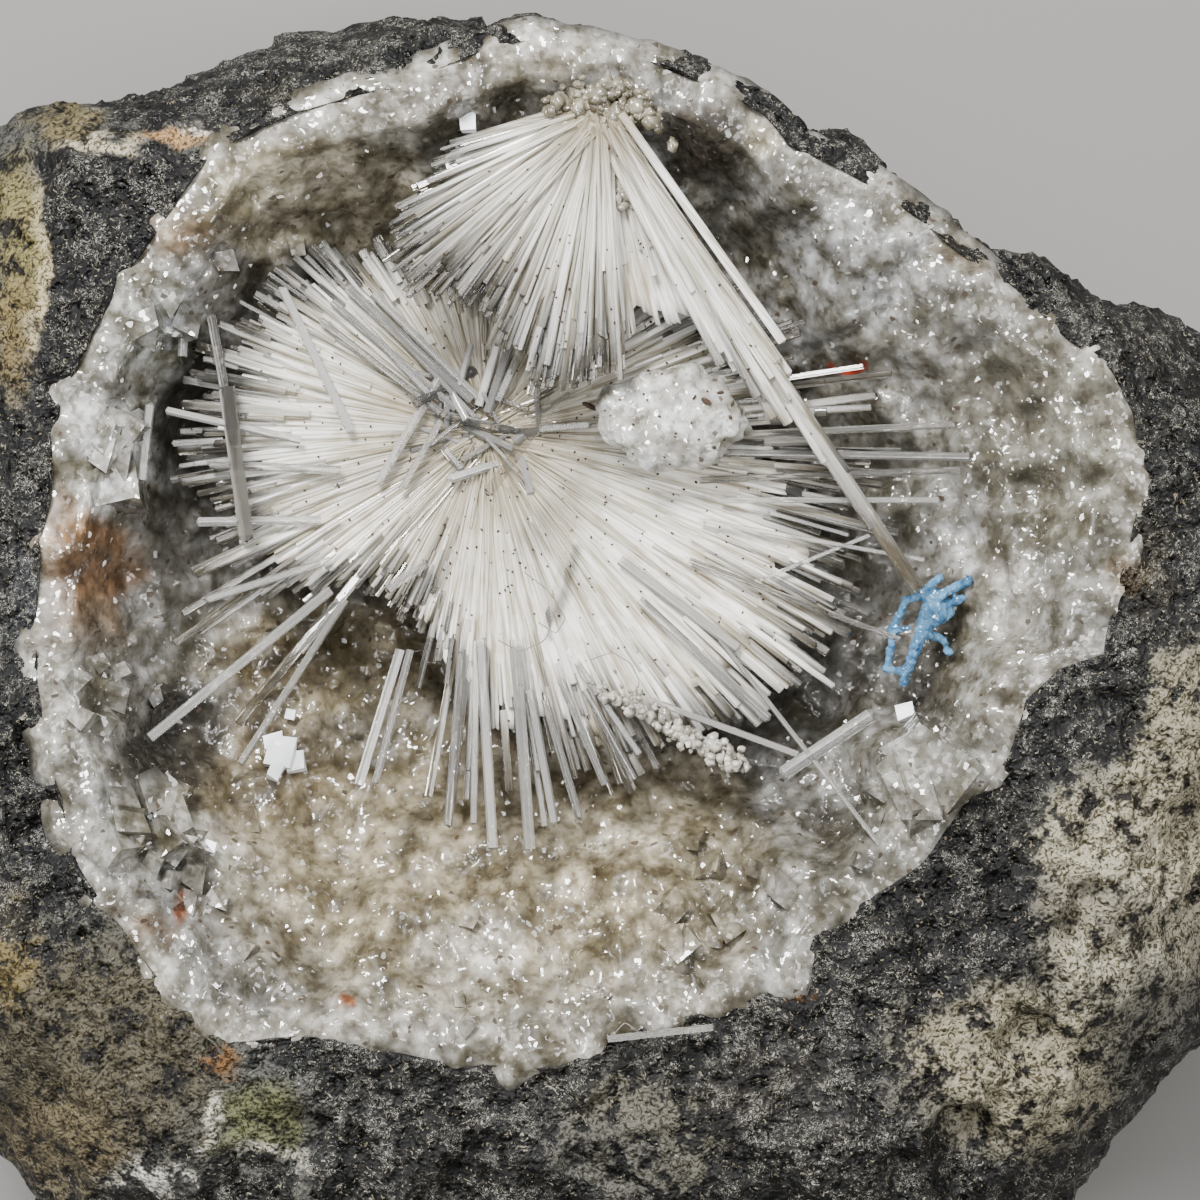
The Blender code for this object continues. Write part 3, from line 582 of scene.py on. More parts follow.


# The cobble

# The near-black patch at (120, 240) is the rock's dark break together with painted shade of a face
# that the real cobble turns away from the light.
BASALT_PATCHES = (  # middle and half width and height in pixels, colour, strength
    (930, 950, 150, 110, "#363532", 0.8), (120, 240, 80, 100, "#121211", 0.95),
    (60, 400, 30, 120, "#1d1d1d", 0.7),
    (1130, 900, 90, 130, "#aaa48f", 0.75),
    (1190, 760, 60, 120, "#979079", 0.7), (1010, 1070, 110, 80, "#979079", 0.75),
    (1080, 840, 60, 50, "#9a947f", 0.6), (1160, 1050, 60, 80, "#55544f", 0.7),
    (1085, 905, 60, 26, "#5a544a", 0.6), (640, 1130, 90, 60, "#5f5b4e", 0.7),
    (430, 1110, 110, 60, "#4c4b47", 0.7), (880, 1120, 70, 50, "#484743", 0.6),
    (560, 1160, 120, 40, "#4d4c48", 0.6), (760, 1090, 60, 40, "#70695a", 0.5),
    (90, 1050, 130, 110, "#4b4534", 0.85), (50, 1150, 80, 60, "#5c523b", 0.8),
    (150, 1180, 55, 18, "#d3d1c6", 0.85), (262, 1118, 42, 34, "#5f6140", 0.8),
    (212, 1118, 8, 26, "#d0ccbc", 0.7), (262, 1154, 34, 7, "#cbc7b8", 0.8),
    (305, 1180, 8, 26, "#cbc7b8", 0.8), (222, 1062, 18, 16, "#6b4a22", 0.9),
    (18, 250, 26, 90, "#7d7449", 0.8), (14, 340, 22, 60, "#6d5f3d", 0.8),
    (12, 500, 22, 80, "#3d3d3a", 0.7), (22, 600, 16, 70, "#59626f", 0.5),
    (36, 790, 22, 90, "#2c2d2e", 0.8), (8, 950, 30, 60, "#675a35", 0.8),
    (80, 880, 30, 40, "#3f4243", 0.6), (40, 260, 6, 90, "#b3a684", 0.7),
    (64, 122, 40, 22, "#6a6040", 0.8), (104, 145, 44, 9, "#b9b09a", 0.8),
    (175, 138, 34, 10, "#a9855a", 0.8), (200, 128, 12, 10, "#d0cabb", 0.8),
    (330, 52, 170, 34, "#454744", 0.7), (300, 95, 60, 20, "#57503c", 0.5),
    (960, 244, 26, 12, "#8a7854", 0.7), (1090, 330, 80, 40, "#55544c", 0.6),
    (1180, 440, 60, 90, "#43433f", 0.6), (1150, 560, 30, 60, "#7c6a45", 0.35),
    (805, 1000, 13, 7, "#b27a35", 0.9), (700, 62, 90, 12, "#4a4740", 0.6),
    (560, 60, 50, 26, "#5a533f", 0.6), (1135, 575, 16, 14, "#8d6f3a", 0.6),
)
WORN_PATCHES = (
    (1130, 900, 110, 140, "#ffffff", 0.85), (1190, 760, 60, 120, "#ffffff", 0.7),
    (1010, 1070, 120, 90, "#ffffff", 0.7), (90, 1060, 160, 130, "#ffffff", 0.9),
    (18, 260, 30, 160, "#ffffff", 0.8), (60, 122, 60, 30, "#ffffff", 0.9),
    (640, 1140, 90, 60, "#ffffff", 0.6), (150, 140, 80, 16, "#ffffff", 1.0),
    (560, 60, 60, 30, "#ffffff", 0.8), (262, 1118, 60, 50, "#ffffff", 0.8),
)
PITS = (  # pixels, radius and depth in millimetres
    (1090, 900, 0.9, 0.8), (1075, 930, 0.8, 0.7), (1050, 985, 0.9, 0.9),
    (1065, 1003, 0.7, 0.7), (1035, 1045, 1.5, 1.5), (975, 1130, 0.9, 0.9),
    (965, 1145, 1.5, 1.4), (905, 1170, 0.9, 0.8), (950, 1190, 0.9, 0.8),
    (1110, 960, 0.6, 0.5), (1000, 1100, 0.5, 0.5), (1140, 870, 0.5, 0.4),
    (30, 760, 1.2, 1.0), (40, 830, 1.3, 1.0), (60, 900, 1.0, 0.8),
)


def between_rings(rings, counts, corners):
    """Rings in between, smooth across all rings but those that are sharp corners."""
    result = []
    for i, count in enumerate(counts):
        before = rings[i] if i in corners else rings[max(i - 1, 0)]
        after = rings[i + 1] if i + 1 in corners else rings[min(i + 2, len(rings) - 1)]
        a, b = rings[i], rings[i + 1]
        for s in np.arange(count) / count:
            result.append(0.5 * (
                2 * a + (b - before) * s + (2 * before - 5 * a + 4 * b - after) * s**2
                + (3 * a - before - 3 * b + after) * s**3
            ))
    result.append(rings[-1])
    return np.array(result)


def shape_cobble(turns_count):
    """Rings of the cobble's skin with its rough breaks, chips and pits."""
    turns = np.arange(turns_count) * TURN / turns_count
    hollow, face, side = HOLLOW_EDGE(turns), FACE_EDGE(turns), SIDE_EDGE(turns)
    rings = [ring(turns, hollow * share, height) for share, height in HOLLOW_WALL]
    for share, amount in ((0.5, 0.25), (1.0, 0.3)):
        reach = hollow + (face - hollow) * share
        rings.append(weathered(ring(turns, reach, FACE_HEIGHT - 0.5 * share), amount))
    for share, drop in SIDE_STEPS:
        reach = face + (side - face) * share
        rings.append(weathered(ring(turns, reach, FACE_HEIGHT + drop), 0.8))
    for share, height in FOOT_STEPS:
        rings.append(weathered(ring(turns, side * share, height), min(0.8, height / 6)))
    rings.append(ring(turns, side * BASE_SHARE, 0))
    counts = [1, 1, 1, 1, 2, 12, 14, 10, 12, 14, 12, 10, 7, 5]
    skin = between_rings(rings, counts[:len(rings) - 1], {5, 7, len(rings) - 1})
    normals = grid_normals(skin)
    if np.sum(normals[-8] * (skin[-8] - skin[-8].mean(axis=0))) < 0:
        normals = -normals
    rows = np.arange(len(skin))
    hold = np.clip((rows - 6) / 3, 0, 1) * np.clip((len(skin) - 1 - rows) / 4, 0, 1)
    flat = skin.reshape(-1, 3)
    relief = 0.34 * rough(flat, 4.5, 3, 1) + 0.16 * rough(flat, 1.1, 3, 5)
    chips = 0.42 * grains(flat, 3.2, 11)[1] + 0.22 * grains(flat, 1.3, 12)[1]
    chips += 0.14 * grains(flat, 0.75, 13)[1]
    relief += np.clip(chips, -0.5, 0.35)
    spots = pixels(flat)
    for x, y, radius, depth in PITS:
        away = np.hypot(spots[:, 0] - x, spots[:, 1] - y) * PIXEL / radius
        away = away * (1 + 0.25 * swell(flat, 0.9, 7))
        relief -= np.where(flat[:, 2] > 12, depth * np.clip(1.4 - away, 0, 1) ** 0.7, 0)
    shift = (relief.reshape(skin.shape[:2]) * hold[:, None])[:, :, None] * normals
    skin = skin + shift
    skin[:, :, 2] = np.maximum(skin[:, :, 2], 0)
    return skin


COBBLE_TURNS = 640  # points around the cobble


def build_cobble(settings):
    """The cobble with its colours, in place of its solid."""
    skin = shape_cobble(COBBLE_TURNS)
    corners = np.vstack((
        HOLLOW_AXIS + (0, 0, HOLLOW_FLOOR), skin.reshape(-1, 3), HOLLOW_AXIS * (1, 1, 0),
    ))
    tints = paint(corners, settings.fresh_break, BASALT_PATCHES)
    age = paint(corners, (0.0, 0.0, 0.0), WORN_PATCHES)[:, 0]
    low = np.clip((24 - corners[:, 2]) / 10, 0, 1)
    worn = np.array(linear("#5f594b"))
    tints = tints * (1 - 0.7 * low[:, None]) + worn * 0.7 * low[:, None]
    piece(
        "basalt_cobble", corners, polar_faces(len(skin), COBBLE_TURNS), basalt_material(),
        {"tint": tints, "age": np.maximum(age, 0.6 * low)}, smooth=True,
        replaced=("basalt_matrix",),
    )


# The crust that lines the hollow

# middle and half width and height in pixels, colour, strength. Most are the crust's own colours;
# the dark patches at (165, 738), (205, 430), (745, 235) and (505, 85) are painted shade in
# hollows, in a recess beside the needles and under the lip
CRUST_PATCHES = (
    (480, 860, 250, 150, "#b0a488", 0.85), (700, 860, 60, 110, "#a0967f", 0.6),
    (470, 955, 60, 45, "#d3cec4", 0.85), (250, 770, 90, 60, "#9a8b6c", 0.7),
    (330, 660, 120, 60, "#a89a7a", 0.85), (300, 1030, 120, 26, "#c9c5bd", 0.8),
    (600, 800, 110, 60, "#bdb5a2", 0.7), (560, 1045, 110, 22, "#c4c0b8", 0.8),
    (140, 960, 40, 50, "#bdb7ac", 0.7),
    (690, 985, 70, 30, "#b5afa3", 0.7), (830, 880, 60, 60, "#9a978d", 0.6),
    (960, 500, 170, 170, "#aeada9", 0.6), (1060, 440, 80, 120, "#838071", 0.7),
    (1000, 400, 60, 44, "#6b6658", 0.7), (940, 520, 60, 40, "#c3c3c2", 0.7),
    (930, 780, 70, 66, "#bab8b2", 0.8), (1000, 600, 40, 40, "#bebbb4", 0.7),
    (165, 738, 62, 50, "#35322c", 0.95), (205, 430, 46, 90, "#4d4a44", 0.8),
    (930, 690, 44, 26, "#45423c", 0.85), (745, 235, 46, 36, "#77746c", 0.8),
    (845, 850, 34, 40, "#5a564b", 0.75), (505, 85, 26, 12, "#4a443a", 0.9),
    (700, 140, 38, 32, "#4d4436", 0.85), (762, 132, 26, 20, "#d4ccb6", 0.8),
    (150, 225, 66, 34, "#a4835d", 0.75), (235, 170, 60, 30, "#8f8468", 0.6),
    (86, 560, 52, 44, "#8f673f", 0.85), (60, 520, 30, 30, "#a07848", 0.7),
    (80, 620, 50, 40, "#8a6e50", 0.7), (188, 912, 12, 10, "#93501f", 0.9),
    (345, 998, 10, 8, "#93501f", 0.9), (150, 930, 30, 14, "#94714f", 0.5),
    (150, 320, 40, 64, "#d6dadb", 0.75), (110, 450, 52, 60, "#eef0f2", 0.85),
    (145, 840, 66, 36, "#c9c8c3", 0.85), (80, 700, 50, 60, "#b9b8b3", 0.8),
    (420, 110, 120, 34, "#a9a498", 0.6), (320, 200, 120, 60, "#cbc3ad", 0.8),
    (540, 60, 50, 30, "#c7c1b2", 0.7), (870, 250, 80, 60, "#c3c5c9", 0.8),
    (640, 200, 34, 26, "#cfccc6", 0.8), (850, 370, 11, 8, "#cf4420", 1.0),
    (960, 262, 30, 16, "#a58a60", 0.6), (1000, 680, 60, 50, "#aaa79f", 0.7),
    (1125, 575, 14, 18, "#a3793f", 0.8), (880, 470, 80, 60, "#8b8880", 0.6),
    (620, 1052, 22, 10, "#38352f", 0.7), (240, 1015, 26, 14, "#a5a097", 0.6),
)


def bowl_height(points):
    """Height of the crust's inner face, the same as its solid has, without its crystals."""
    offsets = points - HOLLOW_AXIS
    turns = np.arctan2(offsets[:, 1], offsets[:, 0])
    share = np.hypot(offsets[:, 0], offsets[:, 1]) / (HOLLOW_EDGE(turns) - 1.9)
    share = np.minimum(share, 1)
    fall = by_direction(BOWL_STEEPNESS, np.degrees(turns) % 360)
    heights = FACE_HEIGHT - BOWL_DEPTH * (1 - share**fall)
    for centre, width, rise in BOWL_FEATURES:
        away = (points[:, 0] - centre[0]) ** 2 + (points[:, 1] - centre[1]) ** 2
        heights += rise * np.exp(-away / width**2) * (1 - share**8)
    knobs = [
        noise.noise(Vector((x, y, 3)) * 0.42) + 0.6 * noise.noise(Vector((x, y, 8)) * 0.8)
        for x, y in points[:, :2]
    ]
    return heights + 0.75 * np.array(knobs)


def crust_relief(points):
    """Grape-like lumps, standing crystals and their flat faces, in millimetres.

    Also tells how far each point stands out between its neighbours, from 0 to 1, with a
    random tone for each lump and bead; it is used as painted shade, darker where a point
    lies low between the lumps.
    """
    flat = points * (1, 1, 0)
    spots = pixels(points)
    grape = np.clip(1 - np.hypot((spots[:, 0] - 980) / 240, (spots[:, 1] - 450) / 280) ** 4, 0, 1)
    calm = np.clip(1 - np.hypot((spots[:, 0] - 460) / 260, (spots[:, 1] - 870) / 150) ** 4, 0, 1)
    wandering = flat + 0.35 * np.stack(
        (rough(flat, 1.6, 2, 29), rough(flat, 1.6, 2, 30), flat[:, 2]), axis=1)
    lump, _, lump_tone = grains(wandering, 2.3, 21, True)
    bead, _, bead_tone = grains(wandering, 1.3, 22, True)
    lumps = np.sqrt(np.clip(1 - lump**2, 0, 1))
    beads = np.sqrt(np.clip(1 - bead**2, 0, 1))
    fine = np.sqrt(np.clip(1 - grains(flat, 0.8, 26, True)[0] ** 2, 0, 1))
    hills = rough(flat, 3.0, 3, 25)
    relief = 0.8 * lumps * (0.25 + 0.75 * grape) * (1 - 0.5 * calm)
    relief += 0.34 * beads * (1 - 0.35 * calm) + 0.12 * fine
    relief += 0.6 * grains(wandering, 1.9, 23, True)[1] * (1 - 0.6 * calm) * (1 - 0.5 * grape)
    relief += 0.5 * hills
    stands = 0.36 * lumps + 0.28 * beads + 0.24 * fine + 0.12 + 0.22 * hills
    stands += 0.14 * lump_tone + 0.12 * bead_tone
    return 0.8 * relief - 0.5, np.clip(stands, 0, 1)


def shape_crust(turns_count, steps):
    """The crust's skin from the middle of the bowl to its lip, and how far each point stands.

    How far a point stands later paints shade into the low places.
    """
    turns = np.arange(turns_count) * TURN / turns_count
    edge = HOLLOW_EDGE(turns)
    inner = [ring(turns, (edge - 1.9) * share, 0) for share in np.arange(1, steps + 1) / steps]
    lip = 0.35 + 0.28 * swell(ring(turns, edge, 0), 1.3, 27)
    for away in (1.5, 1.1, 0.7, 0.3, -0.1, -0.4):
        inner.append(ring(turns, edge - away - min(away, 0) + (lip if away < 0.5 else 0), 0))
    rings = np.array(inner)
    flat = rings.reshape(-1, 3).copy()
    flat[:, 2] = bowl_height(flat)
    relief, stands = crust_relief(flat)
    inward = np.tile(edge, len(rings)) - np.hypot(*(flat - HOLLOW_AXIS)[:, :2].T)
    flat[:, 2] += relief * np.clip(0.35 + inward / 3.5, 0.35, 1)
    rings = flat.reshape(rings.shape)
    rings[-5:, :, 2] += np.array((0.1, 0.05, -0.1, -0.4, -0.9))[:, None]
    outer = [
        ring(turns, edge * share - GAP, min(height + GAP, FACE_HEIGHT - 1.2))
        for share, height in reversed(HOLLOW_WALL)
    ]
    stands = np.concatenate((stands, np.zeros(len(outer) * turns_count)))
    return np.concatenate((rings, np.array(outer))), stands


def boxes(centres, sizes, leans, unevenness=0.4):
    """Corners and faces of many boxes, each turned by three angles."""
    unit = np.array(list(itertools.product((-0.5, 0.5), repeat=3)))
    cells = np.stack(np.meshgrid(np.arange(8), np.arange(len(sizes)), [3]), -1).reshape(-1, 3)
    jitter = scatter(cells, 37).reshape(len(sizes), 8, 3) - 0.5
    corners = (unit[None] + unevenness * jitter) * sizes[:, None]
    for axis in range(3):
        a, b = (axis + 1) % 3, (axis + 2) % 3
        cos, sin = np.cos(leans[:, axis])[:, None], np.sin(leans[:, axis])[:, None]
        first, second = corners[:, :, a].copy(), corners[:, :, b].copy()
        corners[:, :, a] = first * cos - second * sin
        corners[:, :, b] = first * sin + second * cos
    corners = (corners + centres[:, None]).reshape(-1, 3)
    sides = ((0, 1, 3, 2), (4, 6, 7, 5), (0, 4, 5, 1), (2, 3, 7, 6), (0, 2, 6, 4), (1, 5, 7, 3))
    faces = [tuple(8 * k + i for i in side) for k in range(len(centres)) for side in sides]
    return corners, faces


CRYSTAL_GROUPS = (  # pixels, spread in pixels, how many, size range in mm
    ((930, 785), 22, 5, (2.4, 3.6)), ((145, 840), 36, 20, (1.2, 2.4)),
    ((110, 450), 30, 12, (0.9, 1.8)), ((150, 320), 22, 10, (0.8, 1.6)),
    ((80, 700), 30, 12, (0.7, 1.5)), ((200, 900), 50, 12, (0.6, 1.2)),
    ((860, 860), 34, 10, (0.7, 1.4)), ((700, 900), 34, 10, (0.8, 1.6)),
    ((240, 240), 50, 8, (0.6, 1.2)), ((560, 1030), 110, 16, (0.5, 1.0)),
)


BRIGHT_FACES = (  # pixels and size in mm of flat faces that mirror the key light
    (276, 757, 1.6), (268, 744, 0.9), (290, 764, 1.0), (270, 774, 0.8), (284, 717, 0.6),
    (908, 713, 0.9), (940, 735, 0.5), (650, 600, 0.3), (205, 850, 0.8), (468, 122, 0.9),
)


KEY_MIRROR = (-0.124, 0.327, 0.937)  # the way a face points to mirror the key light


def crust_crystals(rng):
    """Blocky crystals that stand out of the crust, in the groups of the real one."""
    places, sizes = [], []
    for (x, y), width, count, (small, large) in CRYSTAL_GROUPS:
        for _ in range(count):
            places.append(seen(*(rng.normal((x, y), width))))
            size = rng.uniform(small, large)
            sizes.append(size * rng.uniform(0.7, 1.15, 3))
    places, sizes = np.array(places), np.array(sizes)
    offsets = places - HOLLOW_AXIS
    room = HOLLOW_EDGE(np.arctan2(offsets[:, 1], offsets[:, 0])) - 1.8
    keep = np.hypot(offsets[:, 0], offsets[:, 1]) < room
    places, sizes = places[keep], sizes[keep]
    places[:, 2] = bowl_height(places) + 0.1 * sizes.mean(axis=1)
    return boxes(places, sizes, rng.uniform(-0.5, 0.5, (len(places), 3)) * (1, 1, 6))


CRUST_TURNS, CRUST_STEPS = 720, 118  # points around the bowl, and from its middle out


def build_crust(settings):
    """The crust with its colours, in place of its solid, and the crystals in it."""
    rng = np.random.default_rng(31)
    skin, stands = shape_crust(CRUST_TURNS, CRUST_STEPS)
    hub = np.array((HOLLOW_AXIS,))
    hub[:, 2] = bowl_height(hub)
    corners = np.vstack((hub, skin.reshape(-1, 3), HOLLOW_AXIS + (0, 0, HOLLOW_FLOOR + GAP)))
    stands = np.concatenate(([0.5], stands, [0]))
    faces = polar_faces(len(skin), CRUST_TURNS)
    tints = paint(corners, settings.crust, CRUST_PATCHES)
    offsets = corners - HOLLOW_AXIS
    edge = HOLLOW_EDGE(np.arctan2(offsets[:, 1], offsets[:, 0]))
    inward = edge - np.hypot(offsets[:, 0], offsets[:, 1]) + 0.5 * swell(corners, 1.6, 28)
    frost = 0.45 * np.clip(1.2 - inward / 1.1, 0, 1)[:, None]
    tints = tints * (1 - frost) + np.array(linear("#cfccc5")) * frost
    # painted shade: the crust is darkened where it lies low between lumps and lightened where it
    # stands out, with a random tone for each lump
    tints = tints * (0.62 + 0.62 * stands)[:, None]
    material = crust_material("drusy zeolite crust", "#f8f9fa", "#878272", 0.13, settings.facet)
    crust = piece(
        "crystal_crust", corners, faces, material, {"tint": tints}, smooth=True,
        replaced=("cavity_crust",),
    )
    stones, sides = crust_crystals(rng)
    piece(
        "crust_crystals", stones, sides, material,
        {"tint": 1.05 * paint(stones, settings.crust, CRUST_PATCHES)},
    )
    spots = np.array([seen(x, y) for x, y, _ in BRIGHT_FACES])
    spots[:, 2] = bowl_height(spots) + 0.5
    sizes = np.array([(size, size * 0.85, size * 0.4) for _, _, size in BRIGHT_FACES])
    spins = rng.uniform(0, TURN, len(spots))
    cos, sin = np.cos(spins), np.sin(spins)
    x, y, z = KEY_MIRROR
    leans = np.stack((
        -np.arcsin(y * cos - x * sin), np.arctan2(x * cos + y * sin, z), spins), axis=1)
    plates, sides = boxes(spots, sizes, leans, 0.2)
    piece(
        "bright_faces", plates, sides, plain_crystal_material(
            "calcite, glassy face", "#f6f8fa", "#e3e6e8", 0.3, 0.0, 1.5 * MM))
    return crust


# The needles


def prisms(roots, tips, widths, rng, rows=(0.0, 0.5), cap=0.5, bevel=0.7):
    """Square prisms with bevelled edges and low tips; returns corners, faces and count."""
    axis = tips - roots
    length = np.linalg.norm(axis, axis=1, keepdims=True)
    along = axis / length
    side = np.cross(along, np.array((0.13, -0.21, 0.97)))
    side /= np.linalg.norm(side, axis=1, keepdims=True)
    over = np.cross(along, side)
    spin = rng.uniform(0, TURN, len(roots))[:, None]
    first = (side * np.cos(spin) + over * np.sin(spin)) * widths[:, None] / 2
    second = (over * np.cos(spin) - side * np.sin(spin)) * widths[:, None] / 2
    second *= rng.uniform(0.7, 1.0, len(roots))[:, None]
    cap = np.minimum(cap * widths * rng.uniform(0.1, 0.9, len(roots)), length[:, 0] * 0.3)
    outline = [(1, bevel), (bevel, 1), (-bevel, 1), (-1, bevel)]
    outline += [(-a, -b) for a, b in outline]
    sides = len(outline)
    stops = [share * (length[:, 0] - cap) for share in (*rows, 1.0)]
    corners = []
    for stop in stops:
        middle = roots + along * stop[:, None]
        corners += [middle + a * first + b * second for a, b in outline]
    corners.append(tips + (first + second) * rng.uniform(-0.5, 0.5, len(roots))[:, None])
    count = len(corners)
    pattern = [tuple(range(sides - 1, -1, -1))]
    for row in range(len(stops) - 1):
        a, b = sides * row, sides * row + sides
        pattern += [(a + i, a + (i + 1) % sides, b + (i + 1) % sides, b + i) for i in range(sides)]
    last = sides * (len(stops) - 1)
    pattern += [(last + i, last + (i + 1) % sides, count - 1) for i in range(sides)]
    faces = [tuple(k * count + i for i in face) for k in range(len(roots)) for face in pattern]
    return np.stack(corners, axis=1).reshape(-1, 3), faces, count


def headings(directions, slopes):
    """Unit runs from compass directions and slopes in degrees."""
    turns, rises = np.radians(directions), np.radians(slopes)
    return np.stack((
        np.cos(turns) * np.cos(rises), np.sin(turns) * np.cos(rises), np.sin(rises)), axis=1)


def clear_lengths(tree, start, runs, wanted, margin):
    """Shortens needles that would run into a skin."""
    result = []
    for run, length in zip(runs, wanted):
        hit = tree.ray_cast(Vector(start), Vector(run), length + margin)[3]
        result.append(length if hit is None else hit - margin)
    return np.array(result)


def spray_rise(direction):
    """The slope of the spray's upper skin, less steep where it goes under the fan."""
    under_fan = np.exp(-((((direction - 85 + 180) % 360) - 180) / 48) ** 2)
    return 6.5 - 11.5 * under_fan


SPRAY_LAYERS = (  # how many, slope change and its spread, root share, widths in mm
    (380, -0.1, 0.6, 0.92, (0.2, 0.4)),
    (480, -0.9, 0.9, 0.8, (0.2, 0.42)),
    (240, -4.0, 2.5, 0.6, (0.24, 0.46)),
    (120, -12.0, 4.0, 0.5, (0.24, 0.46)),
)
FINE_NEEDLES = 420
FULL_TO = (  # direction, and the share of the reach to which the needles are packed
    (0, 0.68), (20, 0.7), (60, 0.8), (120, 0.8), (150, 0.82), (180, 0.84), (205, 0.8),
    (218, 0.62), (228, 0.5), (240, 0.5), (255, 0.54), (264, 0.62), (272, 0.7), (285, 0.78),
    (300, 0.92), (325, 0.93), (340, 0.8), (350, 0.7),
)
LONG_ONES = (  # direction, and the share of the needles that run on past that
    (0, 0.4), (20, 0.42), (60, 0.4), (150, 0.45), (180, 0.42), (205, 0.3), (218, 0.06),
    (235, 0.01), (258, 0.02), (266, 0.14), (285, 0.2), (300, 0.5), (325, 0.5),
    (345, 0.42),
)

PICTURED_NEEDLES = (  # root and tip in pixels, width in mm: those that stand out
    (330, 590, 150, 738, 0.55), (345, 600, 240, 765, 0.5), (400, 650, 358, 788, 0.5),
    (410, 650, 375, 785, 0.4), (462, 650, 448, 828, 0.45), (480, 640, 493, 850, 0.6),
    (515, 640, 530, 850, 0.6), (530, 690, 555, 825, 0.42), (545, 700, 580, 820, 0.42),
    (560, 680, 605, 785, 0.4), (575, 660, 640, 755, 0.4), (585, 690, 635, 780, 0.4),
    (330, 615, 300, 653, 0.35), (700, 436, 955, 425, 0.42), (690, 452, 970, 457, 0.42),
    (720, 640, 895, 865, 0.26), (870, 715, 780, 775, 0.7), (760, 580, 870, 535, 0.22),
    (232, 430, 210, 312, 0.5), (247, 540, 225, 385, 0.75), (350, 430, 280, 285, 0.5),
    (470, 400, 345, 285, 0.55), (455, 408, 330, 300, 0.4), (440, 412, 318, 318, 0.4),
    (440, 420, 400, 490, 0.35), (565, 370, 600, 345, 0.3), (610, 315, 640, 290, 0.4),
    (622, 330, 672, 293, 0.4), (650, 700, 800, 755, 0.45), (640, 600, 770, 720, 0.5),
    (620, 560, 740, 650, 0.5), (330, 560, 205, 600, 0.45), (320, 520, 196, 522, 0.45),
    (340, 470, 208, 464, 0.45), (300, 440, 165, 410, 0.4), (690, 560, 900, 640, 0.3),
    (700, 520, 925, 560, 0.35), (720, 500, 940, 500, 0.35), (700, 480, 960, 470, 0.35),
    (378, 482, 440, 375, 0.45), (487, 412, 520, 310, 0.6), (478, 405, 503, 322, 0.5),
    (497, 400, 535, 318, 0.5), (540, 428, 592, 424, 0.5), (365, 300, 475, 418, 0.4),
    (372, 292, 482, 402, 0.4), (345, 305, 430, 395, 0.4), (385, 591, 426, 561, 0.2),
    (93, 488, 100, 432, 0.6), (106, 505, 116, 412, 0.8), (118, 500, 130, 420, 0.9),
    (130, 508, 139, 408, 0.7), (142, 480, 150, 402, 0.6), (82, 480, 88, 440, 0.5),
    (152, 352, 158, 292, 0.6), (166, 350, 170, 300, 0.5), (182, 356, 184, 306, 0.5),
)


def spray_top(x, y):
    """Height of the spray's upper face at a place."""
    away = np.array((x, y)) - SPRAY_START[:2]
    rise = spray_rise(math.degrees(math.atan2(away[1], away[0])) % 360)
    return SPRAY_START[2] + math.hypot(*away) * math.tan(math.radians(rise))


def spray_runs(tree, rng):
    """Roots, tips and widths of the main spray's needles."""
    roots, tips, widths = [], [], []
    for count, lean, wander, root, (thin, thick) in SPRAY_LAYERS:
        directions = (np.arange(count) + rng.uniform(-0.8, 0.8, count)) * 360 / count % 360
        slopes = spray_rise(directions) + lean + rng.normal(0, wander, count)
        runs = headings(directions, slopes)
        full = by_direction(FULL_TO, directions)
        far = rng.uniform(0, 1, count) < by_direction(LONG_ONES, directions)
        share = full * rng.uniform(0.85, 1.08, count)
        share = np.where(far, full + (1 - full) * rng.uniform(0.2, 1, count), share)
        reach = by_direction(SPRAY_REACH, directions) * share
        reach = clear_lengths(tree, SPRAY_START, runs, reach, 0.6)
        start = SPRAY_START + rng.normal(0, 0.35, (count, 3)) * (1, 1, 0.5) - (0, 0, 0.2)
        near = by_direction(SPRAY_REACH, directions) * full * root
        near = np.minimum(near * rng.uniform(0.75, 1.1, count), reach * 0.85)
        roots.append(start + runs * near[:, None])
        tips.append(start + runs * reach[:, None])
        widths.append(rng.uniform(thin, thick, count) * np.where(far, 1.1, 0.75))
    directions = rng.uniform(0, 360, FINE_NEEDLES)
    runs = headings(directions, spray_rise(directions) + rng.normal(-0.3, 0.3, FINE_NEEDLES))
    reach = by_direction(SPRAY_REACH, directions) * by_direction(FULL_TO, directions)
    far, near = rng.uniform(0.3, 0.95, FINE_NEEDLES), rng.uniform(0.1, 0.5, FINE_NEEDLES)
    start = SPRAY_START + rng.normal(0, 0.3, (FINE_NEEDLES, 3)) * (1, 1, 0.2) - (0, 0, 0.12)
    roots.append(start + runs * (reach * far * near)[:, None])
    tips.append(start + runs * (reach * far)[:, None])
    widths.append(rng.uniform(0.08, 0.2, FINE_NEEDLES))
    return np.vstack(roots), np.vstack(tips), np.concatenate(widths)


def single_runs(rng):
    """Roots, tips and widths of the clear prisms that stand out or cross the others."""
    roots, tips, widths = [], [], []
    for x0, y0, x1, y1, width in PICTURED_NEEDLES:
        ends = []
        for x, y in ((x0, y0), (x1, y1)):
            spot = seen(x, y, 30.5)
            spot[2] = spray_top(*spot[:2]) + 0.5
            ends.append(spot)
        roots.append([ends[0]])
        tips.append([ends[1]])
        widths.append([0.85 * width])
    count = 30
    runs = headings(rng.uniform(0, 360, count), rng.uniform(7, 24, count))
    start = SPRAY_START + rng.normal(0, 1.6, (count, 3)) * (1, 1, 0.1)
    roots.append(start - runs * 0.5)
    tips.append(start + runs * rng.uniform(1.2, 3.4, count)[:, None])
    widths.append(rng.uniform(0.15, 0.4, count))
    return np.vstack(roots), np.vstack(tips), np.concatenate(widths)


